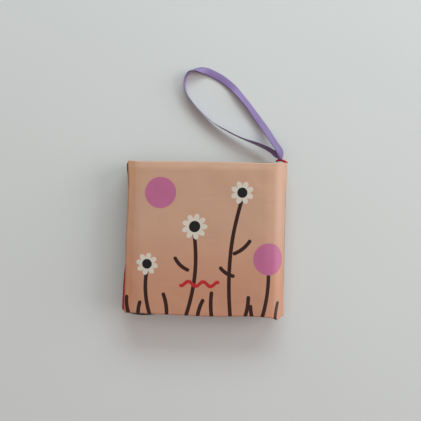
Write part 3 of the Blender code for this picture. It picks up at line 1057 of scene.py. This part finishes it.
def stripes_print(tree, place, ground, step, half, turn, stripe):
    x, y = tree.split(place)
    along = tree.plus(tree.times(x, cos(turn)), tree.times(y, sin(turn)))
    off = tree.absolute(tree.minus(tree.math("FLOORED_MODULO", along, step), step / 2))
    return page_print(tree, place, ground, tree.inside(off, half), stripe)


def checks_print(tree, place, ground, columns, rows, check):
    inset = tree.vector("SUBTRACT", place, (PRINT_CENTRE - PRINT_HALF_WIDTH, -PRINT_HALF_HEIGHT, 0))
    counts = (columns / (2 * PRINT_HALF_WIDTH), rows / (2 * PRINT_HALF_HEIGHT), 0)
    x, y = tree.split(tree.vector("MULTIPLY", inset, counts))
    count = tree.plus(tree.math("FLOOR", x), tree.math("FLOOR", y))
    return page_print(tree, place, ground, tree.math("FLOORED_MODULO", count, 2.0), check)


def waves_print(tree, place, ground, step, length, height, half, line):
    x, y = tree.split(place)
    swing = tree.times(tree.wave(x, length), height)
    row = tree.math("FLOORED_MODULO", tree.minus(y, swing), step)
    return page_print(tree, place, ground, tree.inside(tree.absolute(tree.minus(row, step / 2)), half), line)


# Materials


def new_material(name):
    """A material with a Principled shader, and its tree builder."""
    material = bpy.data.materials.new(name)
    material.use_nodes = True
    return material, Tree(material.node_tree), material.node_tree.nodes["Principled BSDF"]


def finish_shader(tree, shader, colour, roughness, height, strength, distance):
    """Feeds a shader its colour, roughness and bump."""
    bump = tree.add("ShaderNodeBump", {"Strength": strength, "Distance": distance, "Height": height})
    for name, value in (("Base Color", colour), ("Roughness", roughness), ("Normal", bump.outputs[0])):
        tree.feed(shader.inputs[name], value)


def cloth_material(name, colour, printed, *values):
    """Woven cloth with its print. Printed takes the tree, the place, the ground and these values."""
    material, tree, shader = new_material(name)
    place = tree.flat_place()
    ground = tree.add("ShaderNodeRGB").outputs[0]
    ground.default_value = (*colour, 1)
    dye = {"Colour": printed(tree, place, ground, *values), "Place": place, "Grain": 38.0, "Strength": 0.08}
    dyed = tree.group("Cloth Mottle", dye)["Colour"]
    weave = tree.group("Plain Weave", {"Place": place, "Pitch": settings("cloth").thread_pitch})
    rough = tree.level(weave["Height"], -0.08, 0.47)
    # The weave's painted shade darkens the colour between the threads
    finish_shader(tree, shader, tree.scaled(dyed, weave["Shade"]), rough, weave["Height"], 0.25, 0.00006)
    shader.inputs["Sheen Weight"].default_value = 0.03
    shader.inputs["Sheen Roughness"].default_value = 0.45
    shader.inputs["Specular IOR Level"].default_value = 0.32
    return material


def ribbon_material(length):
    """Satin: fine ribs along the ribbon and a firmer woven edge, with painted shade towards the bar tack and a little
    painted light farther along.
    """
    look = settings("ribbon")
    material, tree, shader = new_material("Ribbon satin")
    place = tree.flat_place()
    x, y = tree.split(place)
    ribs, yarn = tree.wave(x, 0.00038), tree.wave(y, 0.00022)
    rim = tree.inside(tree.minus(look.width / 2 - 0.0005, tree.absolute(y)), 0.0)
    streak = tree.grain(tree.vector("MULTIPLY", place, (60.0, 2400.0, 1.0)), 1.0)
    # Painted shade: darker at both ends where they are drawn into the bar tack and along the start of the upper strand,
    # slightly lighter beyond
    near_end = tree.math("MINIMUM", x, tree.minus(length, x))
    tack_shade = tree.math("EXPONENT", tree.over(near_end, -0.002))
    root_shade = tree.math("EXPONENT", tree.over(x, -0.04))
    painted_light_and_shade = tree.level(tack_shade, -0.3, tree.level(root_shade, -0.26, 1.05))
    ground = tree.mix(tree.times(rim, 0.35), look.satin, tuple(0.72 * c for c in look.satin))
    colour = tree.scaled(ground, tree.times(painted_light_and_shade, tree.level(streak, 0.16, 0.92)))
    height = tree.plus(tree.plus(tree.times(ribs, 0.25), tree.times(yarn, 0.5)), tree.times(rim, 2.0))
    finish_shader(tree, shader, colour, tree.level(streak, 0.12, 0.38), height, 0.2, 0.00004)
    shader.inputs["Sheen Weight"].default_value = 0.06
    shader.inputs["Specular IOR Level"].default_value = 0.35
    return material


def thread_material(name, colour, pitch):
    """Closely laid sewing thread, with its turns across the piece and painted shade between them."""
    material, tree, shader = new_material(name)
    place = tree.object_place()
    x, y = tree.split(place)
    lay = tree.wave(tree.plus(x, tree.times(y, 0.35)), pitch)
    fuzz = tree.grain(place, 3500.0, Detail=3.0)
    # Painted shade in the grooves between the turns; the fuzz varies the tone
    shade = tree.plus(tree.level(lay, 0.08, 0.82), tree.times(fuzz, 0.2))
    rough = tree.level(fuzz, 0.2, 0.45)
    finish_shader(tree, shader, tree.scaled(colour, shade), rough, tree.plus(lay, fuzz), 0.4, 0.00006)
    return material


def film_material():
    """Silvery crumpled film with fine creases."""
    material, tree, shader = new_material("Crinkle film")
    inputs = {"Vector": tree.object_place(), "Scale": 260.0}
    cells = tree.add("ShaderNodeTexVoronoi", inputs, feature="DISTANCE_TO_EDGE")
    crease = tree.math("MINIMUM", tree.times(cells.outputs["Distance"], 6.0), 1.0)
    colour = tree.mix(crease, srgb(214, 216, 220), srgb(190, 193, 198))
    finish_shader(tree, shader, colour, tree.level(crease, -0.14, 0.36), crease, 0.6, 0.0002)
    return material


def wadding_material():
    """White fibre with a matted surface."""
    material, tree, shader = new_material("Wadding fibre")
    mat = tree.grain(tree.object_place(), 900.0, Detail=6.0, Distortion=1.5)
    colour = tree.mix(mat, srgb(206, 205, 200), srgb(226, 226, 223))
    finish_shader(tree, shader, colour, tree.level(mat, 0.15, 0.8), mat, 0.6, 0.0003)
    return material


def seam_material(colour):
    """Edges of the stacked page strips, one line for each cloth, with painted shade in the grooves between them."""
    material, tree, shader = new_material("Spine seam cloth")
    place = tree.object_place()
    layers = tree.wave(tree.height(place), STRIP_PITCH)
    fuzz = tree.grain(place, 2200.0, Detail=4.0)
    # Painted shade between the strips' edges; the fuzz varies the tone
    shade = tree.plus(tree.level(layers, 0.1, 0.82), tree.times(fuzz, 0.2))
    finish_shader(tree, shader, tree.scaled(colour, shade), tree.level(fuzz, 0.2, 0.6), layers, 0.5, 0.0001)
    return material


def table_material(colour):
    """Plain table top with faint broad patches."""
    material, tree, shader = new_material("Table top")
    patch = tree.grain(tree.object_place(), 9.0, Detail=3.0)
    tree.feed(shader.inputs["Base Color"], tree.scaled(colour, tree.level(patch, 0.03, 0.985)))
    tree.feed(shader.inputs["Roughness"], tree.level(patch, 0.1, 0.6))
    return material


# Pieces


def finish_piece(obj, body, node, material):
    """Gives a piece its material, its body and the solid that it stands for."""
    obj.data.materials.append(material)
    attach(obj, body)
    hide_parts(node)
    return obj


def cloth_piece(body, word, node, points, grid, upward, material):
    """One face cloth of a page."""
    thickness = settings("cloth").thickness
    obj = cloth_sheet(f"{body}_{word}_cloth", points, unrolled(points, grid), upward, thickness)
    finish_piece(obj, body, node, material)


def stepped(distance, step, rest):
    """Rise from a seam in a small round step, given as its width and share, and in the rest."""
    width, share = step
    return share * quarter_round(distance / width) + (1 - share) * rest


def cover_rise(grid, x):
    """How far the front cover has risen from its seams: a sloping band at the open edge, rolls at the ends."""
    cloth = settings("cloth")
    y = grid.across * FORE_HEIGHT / 2
    wander = 1 + 0.1 * noise_grid(x * 0, y, 0.03, 1.5)
    swell = 1 + 0.3 * noise_grid(x, y * 0, 0.013, 4.2)
    fore = stepped(grid.fore, FORE_STEP, soft_ramp(grid.fore / (cloth.fore_roll * wander), 0.16))
    bottom = stepped(grid.edge, BOTTOM_STEP, quarter_round(grid.edge / (1.1 * cloth.end_roll * swell)))
    top = stepped(grid.edge, TOP_STEP, soft_ramp(grid.edge / (1.12 * cloth.end_roll), 0.25))
    return fore * np.where(grid.across < 0, bottom, top)


def plain_rise(grid, roll, end_roll):
    return quarter_round(grid.fore / roll) * quarter_round(grid.edge / end_roll)


def clear_of_seams(grid, reach):
    """0 at the seams and 1 this far in from all of them."""
    both = np.clip(grid.fore / reach, 0, 1) * np.clip(grid.edge / reach, 0, 1)
    return both**2 * (3 - 2 * both)


def cover_wrinkles(grid, x, y):
    """Depth of the faint level wrinkles and broad hollows of the front cover, below its face."""
    depth = 0.9 * (noise_grid(x, y, 0.034, 7.0) + 0.35) + 0.5 * np.abs(noise_grid(x * 0.45, y, 0.008, 2.0))
    for centre_x, centre_y, length, width, share in COVER_WRINKLES:
        tilt = 0.08 * (x - centre_x)
        depth += share * bell(x, centre_x, length) * bell(y - tilt, centre_y, width)
    return depth


def lower_face(points, grid, depth, side):
    """Lowers the flat part of a face by this depth, along Z."""
    points[..., 2] -= side * depth * (1 - grid.fan)
    return points


def make_cover_cloth(word, side, outline, materials):
    """Outer cloth and lining of one cover."""
    cloth = settings("cloth")
    front = side > 0
    body = f"{word}_cover"
    outer_face = spine_face(side, CROWN if front else 0)
    lining_face = web_face(side * (SPINE_RADIUS - COVER_THICKNESS), side * web_angle(0))

    def face_points(grid, own, other):
        x, y = flat_places(grid, outline)
        rise = cover_rise(grid, x) if front else plain_rise(grid, *BACK_ROLLS)
        drift = seam_drift(grid, x, y, cloth.seam_wander, 5.0 + side)
        return page_points(grid, own, other, outline, rise, COVER_CORNER, drift)

    even = EvenGrid(FILL_SPACING)
    outer, lining = face_points(even, outer_face, lining_face), face_points(even, lining_face, outer_face)
    moves = filled_moves(outer, lining) if front else filled_moves(lining, outer)[::-1]
    grid = PageGrid(*OUTER_GRID)
    points = face_points(grid, outer_face, lining_face)
    if front:
        depth = cloth.wrinkle * clear_of_seams(grid, 0.006) * cover_wrinkles(grid, *flat_places(grid, outline))
        points = lower_face(points, grid, depth, side)
    points[..., 2] += pucker(moves[0], grid, side, *(COVER_PUCKER if front else BACK_PUCKER))
    node = f"{body}_outer_fabric"
    cloth_piece(body, "outer", node, points, grid, front, materials[0])
    grid = PageGrid(*LINING_GRID)
    points = face_points(grid, lining_face, outer_face)
    hollows = noise_grid(*flat_places(grid, outline), 0.02, 3.0) + 0.3
    depth = 1.6 * cloth.wrinkle * clear_of_seams(grid, 0.008) * hollows
    points = lower_face(points, grid, np.maximum(depth, 0), -side)
    points[..., 2] += pucker(moves[1], grid, -side, *LINING_PUCKER)
    cloth_piece(body, "lining", f"{body}_lining", points, grid, not front, materials[1])


def crinkles(grid, x, y, seed):
    """Sharp creases between flat facets, as the film inside gives them, from 0 to 1."""
    first = np.abs(noise_grid(x, y, 0.017, seed))
    second = np.abs(noise_grid(x, y, 0.0075, seed + 9))
    return np.clip(1 - 2.2 * first - 0.9 * second, 0, 1)


def make_leaf_cloth(index, materials):
    """The two face cloths of a leaf."""
    cloth = settings("cloth")
    number = index + 1
    outline = LEAF_OUTLINES[index]
    front_z, rear_z = leaf_heights(index)
    top = WEB_GAP + index * (WEB_GAP + WEB_THICKNESS)
    front_face = web_face(front_z, web_angle(top))
    rear_face = web_face(rear_z, web_angle(top + WEB_THICKNESS))
    body = f"leaf_{number}"

    def face_points(grid, own, other, side):
        x, y = flat_places(grid, outline)
        rise = plain_rise(grid, cloth.leaf_roll, cloth.leaf_roll)
        drift = seam_drift(grid, x, y, cloth.seam_wander, 2.0 * number)
        points = page_points(grid, own, other, outline, rise, LEAF_CORNER, drift)
        depth = cloth.crinkle * clear_of_seams(grid, 0.004) * crinkles(grid, x, y, 3.0 * number + side)
        return lower_face(points, grid, depth, side)

    faces = (("front", front_face, rear_face, 1), ("rear", rear_face, front_face, -1))
    even = EvenGrid(FILL_SPACING)
    moves = filled_moves(*(face_points(even, own, other, side) for _, own, other, side in faces))
    grid = PageGrid(*LEAF_GRID)
    for (word, own, other, side), lift, slot, material in zip(faces, moves, LEAF_SLOTS[index], materials):
        points = face_points(grid, own, other, side)
        points[..., 2] += pucker(lift, grid, side, *LEAF_PUCKER)
        cloth_piece(body, word, f"{body}_{word}_fabric", points, grid, side > 0, material)


def filler_grid(node, spacing):
    """A grid over a filler's outline: X, Y and inset of its points, and the filler's middle and half height."""
    low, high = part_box(node)
    half_x, half_y = (high.x - low.x) / 2, (high.y - low.y) / 2
    s = np.linspace(-1, 1, int(2 * half_x / spacing) + 1)[:, None]
    t = np.linspace(-1, 1, int(2 * half_y / spacing) + 1)[None, :]
    s, t = np.broadcast_arrays(s, t)
    fore, edge = half_x * (1 - np.abs(s)), half_y * (1 - np.abs(t))
    corner_x, corner_y = rounded_corner(fore, edge, FILLER_CORNER)
    x = (low.x + high.x) / 2 + s * half_x - np.sign(s) * corner_x
    y = (low.y + high.y) / 2 + t * half_y - np.sign(t) * corner_y
    return x, y, np.minimum(fore, edge), (low.z + high.z) / 2, (high.z - low.z) / 2


def make_film(body, material, seed):
    """Crumpled film between the cloths of a page."""
    node = f"{body}_crinkle_film"
    x, y, _, middle, half = filler_grid(node, FILM_SPACING)
    crumple = 1.3 * np.abs(noise_grid(x, y, 0.015, seed)) + 0.7 * np.abs(noise_grid(x, y, 0.006, seed + 5)) - 0.45
    z = middle + (half - FILM_INSET) * np.clip(1.6 * crumple, -1, 1)
    places = np.stack([x, y], -1)
    obj = cloth_sheet(f"{body}_film_sheet", np.stack([x, y, z], -1), places, True, FILM_THICKNESS, 0)
    finish_piece(obj, body, node, material)


def make_wadding(body, material, seed):
    """Fibre pad in a cover: two lumpy faces that meet in a thin rounded edge."""
    node = f"{body}_wadding"
    x, y, inset, middle, half = filler_grid(node, WADDING_SPACING)
    swell = quarter_round(inset / WADDING_ROLL) * (1 - 0.1 * np.abs(noise_grid(x, y, 0.009, seed)))
    upper, lower = (np.stack([x, y, middle + side * half * swell], -1) for side in (1, -1))
    obj = closed_pad(f"{body}_wadding_pad", upper, lower)
    finish_piece(obj, body, node, material)


# Ribbon: middle line from its upper end round to its lower one, and its twist in degrees
RIBBON_ROUTE = (
    (0.0615, 0.0667, 0.0128, 0),
    (0.0616, 0.0698, 0.0127, 8),
    (0.0608, 0.0740, 0.0116, 18),
    (0.0580, 0.0787, 0.0095, 24),
    (0.0534, 0.0865, 0.0057, 22),
    (0.0472, 0.0959, 0.0030, 18),
    (0.0410, 0.1043, 0.0022, 22),
    (0.0352, 0.1123, 0.0025, 34),
    (0.0275, 0.1214, 0.0021, 28),
    (0.0210, 0.1282, 0.0013, 10),
    (0.0130, 0.1345, 0.0009, 4),
    (0.0052, 0.1389, 0.0008, 5),
    (-0.0027, 0.1419, 0.0013, 14),
    (-0.0108, 0.1424, 0.0030, 58),
    (-0.0163, 0.1402, 0.0033, 88),
    (-0.0192, 0.1359, 0.0033, 97),
    (-0.0202, 0.1304, 0.0033, 99),
    (-0.0193, 0.1249, 0.0033, 96),
    (-0.0171, 0.1200, 0.0033, 93),
    (-0.0137, 0.1151, 0.0033, 93),
    (-0.0087, 0.1095, 0.0034, 97),
    (-0.0022, 0.1032, 0.0036, 101),
    (0.0036, 0.0982, 0.0039, 99),
    (0.0108, 0.0936, 0.0044, 93),
    (0.0179, 0.0898, 0.0049, 90),
    (0.0251, 0.0862, 0.0054, 90),
    (0.0322, 0.0832, 0.0059, 87),
    (0.0393, 0.0808, 0.0063, 78),
    (0.0462, 0.0782, 0.0067, 72),
    (0.0518, 0.0756, 0.0072, 66),
    (0.0562, 0.0728, 0.0080, 58),
    (0.0595, 0.0701, 0.0097, 32),
    (0.0611, 0.0683, 0.0112, 6),
    (0.0615, 0.0667, 0.0117, 0),
)
RIBBON_TUCK = 0.0009
RIBBON_STEPS = 7
RIBBON_COLUMNS = 9
# The ribbon narrows near its ends over this length, and cups by this much along it and there
GATHER_LENGTH = 0.004
RIBBON_CUP = 0.00012
END_CUP = 0.0026

# Start of the bar tack, its length, thickness and number of stitches
TACK_START = (0.058, 0.0648, 0.01225)
TACK_LENGTH = 0.0098
TACK_RADIUS = 0.00098
TACK_TIP = 0.00004
TACK_STITCHES = 24
TACK_POINTS = 121


def ribbon_stations():
    """Points and twist along the route, on a smooth curve."""
    route = np.array(RIBBON_ROUTE, float)
    padded = np.vstack([route[:1], route, route[-1:]])
    stations = []
    for before, start, end, after in zip(padded, padded[1:], padded[2:], padded[3:]):
        for t in np.arange(RIBBON_STEPS) / RIBBON_STEPS:
            bend = 2 * before - 5 * start + 4 * end - after
            turn = 3 * (start - end) + after - before
            stations.append(start + (t * (end - before) + t**2 * bend + t**3 * turn) / 2)
    return np.array([*stations, route[-1]])


def tucked_stations():
    """The ribbon's stations, with both ends tucked into the bar tack."""
    stations = ribbon_stations()
    ends = stations[[0, -1]]
    ends[:, 1] -= RIBBON_TUCK
    ends[0, 2] += 0.3 * RIBBON_TUCK
    return np.vstack([ends[:1], stations, ends[1:]])


def ribbon_band(stations, width):
    """Points of the ribbon, gathered and cupped near its ends, and their places on the ribbon laid flat."""
    centre = stations[:, :3]
    ahead = np.gradient(centre, axis=0)
    heading = np.arctan2(ahead[:, 1], ahead[:, 0]) + pi / 2
    twist = np.radians(stations[:, 3])
    across = np.stack([np.cos(twist) * np.cos(heading), np.cos(twist) * np.sin(heading), np.sin(twist)], -1)
    run = np.concatenate([[0], np.cumsum(np.linalg.norm(np.diff(centre, axis=0), axis=1))])
    share = np.linspace(-1, 1, RIBBON_COLUMNS)
    gather = 1 - 0.5 * bell(np.minimum(run, run[-1] - run), 0, GATHER_LENGTH)
    normal = np.cross(ahead / np.linalg.norm(ahead, axis=1)[:, None], across)
    cup = (RIBBON_CUP + END_CUP * (1 - gather))[:, None] * (1 - share**2)[None, :]
    points = centre[:, None] + (across * gather[:, None])[:, None] * share[None, :, None] * width / 2
    places = np.stack(np.broadcast_arrays(run[:, None], share[None, :] * width / 2), -1)
    return points + normal[:, None] * cup[..., None], places


def make_bar_tack(colour):
    """A raised bar of close stitches that bends over the end of the spine."""
    t = np.linspace(0, 1, TACK_POINTS)
    x = TACK_START[0] + TACK_LENGTH * t
    y = TACK_START[1] + 0.0009 * np.sin(pi * np.clip(1.15 * t, 0, 1)) - 0.0014 * t**3
    z = TACK_START[2] + 0.0013 * t**2
    stitches = 1 + 0.09 * np.cos(2 * pi * t * TACK_STITCHES)
    radii = TACK_RADIUS * quarter_round(np.minimum(t, 1 - t) / 0.08) * stitches + TACK_TIP
    tack = thread_bar("ribbon_bar_tack_stitches", np.stack([x, y, z], -1), radii, 12)
    material = thread_material("Bar tack thread", colour, 0.0004)
    return finish_piece(tack, "back_cover", "ribbon_bar_tack", material)


def make_ribbon(look):
    """The satin loop, with the bar tack on it."""
    stations = tucked_stations()
    points, places = ribbon_band(stations, look.width)
    ribbon = cloth_sheet("ribbon_loop_satin", points, places, True, look.thickness, 0)
    finish_piece(ribbon, "ribbon", "ribbon_loop", ribbon_material(places[-1, 0, 0]))
    tack = make_bar_tack(look.tack)


# Distance between the edges of the spine's strips, and the whip stitches that close the fold
STRIP_PITCH = 0.0006
STITCHES = 58
STITCH_POINTS = 12
STITCH_INSET = 0.0003
THREAD_RADIUS = 0.00015


def make_spine_seam(colour):
    """The strips of the pages, folded over each other into a bar that is round towards the leaves."""
    low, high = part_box("spine_seam")
    radius = WEB_RADIUS - PAGE_GAP
    reach = acos((AXIS.x - high.x) / radius)
    angles = np.linspace(-reach, reach, 41)
    ripple = 1 - 0.02 * (1 + np.cos(angles * 22)) / 2
    arc_x = AXIS.x - radius * ripple * np.cos(angles)
    arc_z = AXIS.z + radius * ripple * np.sin(angles)
    back_z = np.linspace(arc_z[-1], arc_z[0], 13)[1:-1]
    back_x = high.x + 0.00012 * np.cos(back_z * 2 * pi / STRIP_PITCH)
    outline = np.stack([np.concatenate([arc_x, back_x]), np.concatenate([arc_z, back_z])], -1)
    middle_x = AXIS.x - 0.0022
    rings = []
    for y in np.linspace(low.y, high.y, 61):
        shrink = 1 - 0.12 * (1 - quarter_round(min(y - low.y, high.y - y) / 0.0008))
        face_x = high.x - MM * smooth_table(FOLD_LEAN, y / (SPINE_HEIGHT / 2))
        ring = [(middle_x + (min(x, face_x) - middle_x) * shrink, y, AXIS.z + (z - AXIS.z) * shrink) for x, z in outline]
        rings.append(ring)
    seam = closed_bar("spine_seam_strips", rings)
    finish_piece(seam, "back_cover", "spine_seam", seam_material(colour))


def make_stitches(colour):
    """Whip stitches that close the fold: a thread that winds along it."""
    low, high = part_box("spine_stitching")
    t = np.linspace(0, 1, STITCHES * STITCH_POINTS + 1)
    angle = 2 * pi * STITCHES * t
    x = AXIS.x - 0.0001 + 0.00032 * np.cos(angle)
    y = low.y + STITCH_INSET + (high.y - low.y - 2 * STITCH_INSET) * t + 0.0004 * np.sin(angle)
    z = AXIS.z + 0.00034 * np.sin(angle)
    thread = thread_bar("spine_whip_stitches", np.stack([x, y, z], -1), THREAD_RADIUS, 6)
    material = thread_material("Spine thread", colour, 0.0003)
    finish_piece(thread, "back_cover", "spine_stitching", material)


# Stage

# Place of the camera over the book, and the width it sees at this distance on a sensor 36 mm wide
CAMERA_X, CAMERA_Y = 0.0045, 0.02235
SENSOR_WIDTH = 36
SEEN_DISTANCE = 0.4
SEEN_WIDTH = 0.341
TABLE_REACH = 3
# Each lamp's heading and height in degrees, its distance, width, rise and colour
TOP_LAMP = (80, 28, 1.8, 1.8, 0.6, (0.84, 1.0, 1.0))
SIDE_LAMP = (8, 20, 2.6, 2.0, 2.0, (1.0, 1.0, 1.0))


def place_camera(look):
    """The camera above the book, turned as the picture is."""
    camera = new_object("Camera", bpy.data.cameras.new("Camera"))
    camera.data.lens = SENSOR_WIDTH * SEEN_DISTANCE / SEEN_WIDTH
    camera.data.clip_start = 0.01
    camera.location = (CAMERA_X, CAMERA_Y, look.camera_height)
    camera.rotation_euler = (0, 0, look.camera_turn)
    return camera


def lay_table(colour):
    bm = bmesh.new()
    bmesh.ops.create_grid(bm, x_segments=8, y_segments=8, size=TABLE_REACH)
    table = mesh_object("Table", bm)
    table.data.materials.append(table_material(colour))


def hang_lamp(name, power, heading, height, reach, width, rise, colour):
    """A soft lamp that shines on the book from this heading and height, in degrees."""
    lamp = bpy.data.lights.new(name, "AREA")
    lamp.energy = power
    lamp.shape = "RECTANGLE"
    lamp.size = width
    lamp.size_y = rise
    lamp.color = colour
    holder = new_object(name, lamp)
    turn, lift = radians(heading), radians(height)
    direction = Vector((cos(lift) * cos(turn), cos(lift) * sin(turn), sin(lift)))
    holder.location = reach * direction
    holder.rotation_euler = direction.to_track_quat("Z", "Y").to_euler()


def light_room(scene, look):
    """Soft light all round, brighter overhead, in a room that is seen and mirrored in the table's colour."""
    world = bpy.data.worlds.new("Room")
    scene.world = world
    world.use_nodes = True
    tree = Tree(world.node_tree)
    facing = tree.add("ShaderNodeTexCoord").outputs["Generated"]
    x, y = tree.split(facing)
    z = tree.height(facing)
    overhead = tree.level(tree.times(z, z), 0.9, 0.35)
    warm = tree.mix(tree.level(y, 0.5, 0.5), (1.0, 0.56, 0.5), (0.97, 1.0, 1.0))
    cool = tree.mix(tree.level(x, 0.5, 0.5), (0.85, 1.0, 0.97), (1.0, 0.95, 0.97))
    rays = tree.add("ShaderNodeLightPath").outputs
    mirrored = tree.math("MAXIMUM", rays["Is Glossy Ray"], rays["Is Transmission Ray"])
    seen = tree.math("MAXIMUM", rays["Is Camera Ray"], mirrored)
    background = world.node_tree.nodes["Background"]
    tree.feed(background.inputs["Color"], tree.mix(seen, tree.vector("MULTIPLY", warm, cool), look.table))
    strength = tree.times(overhead, look.ambient)
    shown = tree.times(seen, tree.minus(1.0, strength))
    tree.feed(background.inputs["Strength"], tree.plus(strength, shown))


# Operators


class CLOTHBOOK_OT_stage(bpy.types.Operator):
    """Sets up the camera, the table and the soft light"""

    bl_idname = "clothbook.stage"
    bl_label = "Stage"

    def execute(self, context):
        look = settings("stage")
        scene = context.scene
        scene.view_settings.view_transform = "Standard"
        scene.camera = place_camera(look)
        lay_table(look.table)
        hang_lamp("Top lamp", look.top_power, *TOP_LAMP)
        hang_lamp("Side lamp", look.side_power, *SIDE_LAMP)
        light_room(scene, look)
        return {"FINISHED"}


class CLOTHBOOK_OT_ribbon(bpy.types.Operator):
    """Lays the ribbon loop on the table and sews its two ends with a bar tack"""

    bl_idname = "clothbook.ribbon"
    bl_label = "Ribbon Loop"

    def execute(self, context):
        make_ribbon(settings("ribbon"))
        return {"FINISHED"}


class CLOTHBOOK_OT_covers(bpy.types.Operator):
    """Makes the padded front and back cover: printed outer cloth and lining"""

    bl_idname = "clothbook.covers"
    bl_label = "Covers"

    def execute(self, context):
        cloth = settings("cloth")
        front = (
            cloth_material("Front cover cloth", cloth.peach, garden_print),
            cloth_material("Front lining cloth", cloth.red, dots_print, 0.021, 0.0051, cloth.cream),
        )
        daisies = (0.027, 0.5, 0.0067, cloth.cream, cloth.mauve)
        back = (
            cloth_material("Back cover cloth", cloth.peach, scattered_print, *daisies),
            cloth_material("Back lining cloth", cloth.yellow, checks_print, 6, 7, cloth.dark),
        )
        make_cover_cloth("front", 1, COVER_OUTLINE, front)
        make_cover_cloth("back", -1, BACK_OUTLINE, back)
        return {"FINISHED"}


class CLOTHBOOK_OT_leaves(bpy.types.Operator):
    """Makes the four crinkle leaves, each of two printed cloths"""

    bl_idname = "clothbook.leaves"
    bl_label = "Leaves"

    def execute(self, context):
        cloth = settings("cloth")
        designs = (
            (
                (cloth.turquoise, rings_print, 0.0355, 0, 0.0098, cloth.cream, cloth.dark),
                (cloth.dark, waves_print, 0.0185, 0.03, 0.004, 0.0026, cloth.cream),
            ),
            (
                (cloth.dark, dots_print, 0.027, 0.0067, cloth.turquoise),
                (cloth.yellow, stripes_print, 0.02, 0.005, pi / 4, cloth.red),
            ),
            (
                (cloth.red, daisies_print, 0.036, 0, 0.0112, cloth.cream, cloth.dark),
                (cloth.cream, checks_print, 5, 6, cloth.dark),
            ),
            (
                (cloth.mauve, stripes_print, 0.017, 0.0036, 0, cloth.cream),
                (cloth.red, rings_print, 0.029, 0.5, 0.0085, cloth.yellow, cloth.cream),
            ),
        )
        for index, faces in enumerate(designs):
            materials = [
                cloth_material(f"Leaf {index + 1} {word} cloth", *design)
                for word, design in zip(("front", "rear"), faces)
            ]
            make_leaf_cloth(index, materials)
        return {"FINISHED"}


class CLOTHBOOK_OT_fillers(bpy.types.Operator):
    """Makes the wadding of the covers and the crumpled film of every page"""

    bl_idname = "clothbook.fillers"
    bl_label = "Wadding and Film"

    def execute(self, context):
        film = film_material()
        fibre = wadding_material()
        for index in range(LEAVES):
            make_film(f"leaf_{index + 1}", film, 11.0 + index)
        for seed, body in ((21.0, "front_cover"), (27.0, "back_cover")):
            make_film(body, film, seed)
            make_wadding(body, fibre, seed + 2)
        return {"FINISHED"}


class CLOTHBOOK_OT_spine(bpy.types.Operator):
    """Makes the spine seam of stacked strips and the whip stitches along the fold"""

    bl_idname = "clothbook.spine"
    bl_label = "Spine Seam"

    def execute(self, context):
        cloth = settings("cloth")
        make_spine_seam(cloth.red)
        make_stitches(tuple(0.9 * c for c in cloth.peach))
        return {"FINISHED"}


class CLOTHBOOK_PT_panel(bpy.types.Panel):
    """Lists the pieces of the cloth book and their settings"""

    bl_idname = "CLOTHBOOK_PT_panel"
    bl_label = "Cloth Book"
    bl_space_type = "VIEW_3D"
    bl_region_type = "UI"
    bl_category = "Cloth Book"

    def draw(self, context):
        layout = self.layout
        for operator in OPERATORS:
            layout.operator(operator.bl_idname)
        for name in PROPERTIES:
            box = layout.box()
            box.label(text=name.title())
            group = getattr(context.scene, f"cloth_book_{name}")
            for key in type(group).__annotations__:
                box.prop(group, key)


PROPERTIES = {
    "cloth": ClothBookCloth,
    "print": ClothBookPrint,
    "ribbon": ClothBookRibbon,
    "stage": ClothBookStage,
}
OPERATORS = (
    CLOTHBOOK_OT_stage,
    CLOTHBOOK_OT_ribbon,
    CLOTHBOOK_OT_covers,
    CLOTHBOOK_OT_leaves,
    CLOTHBOOK_OT_fillers,
    CLOTHBOOK_OT_spine,
)


def register():
    for name, group in PROPERTIES.items():
        bpy.utils.register_class(group)
        setattr(bpy.types.Scene, f"cloth_book_{name}", PointerProperty(type=group))
    for cls in (*OPERATORS, CLOTHBOOK_PT_panel):
        bpy.utils.register_class(cls)


def unregister():
    for cls in (CLOTHBOOK_PT_panel, *reversed(OPERATORS)):
        bpy.utils.unregister_class(cls)
    for name, group in PROPERTIES.items():
        delattr(bpy.types.Scene, f"cloth_book_{name}")
        bpy.utils.unregister_class(group)


def main():
    register()
    bpy.ops.clothbook.stage()
    bpy.ops.clothbook.ribbon()
    bpy.ops.clothbook.covers()
    bpy.ops.clothbook.leaves()
    bpy.ops.clothbook.fillers()
    bpy.ops.clothbook.spine()


if __name__ == "__main__":
    main()
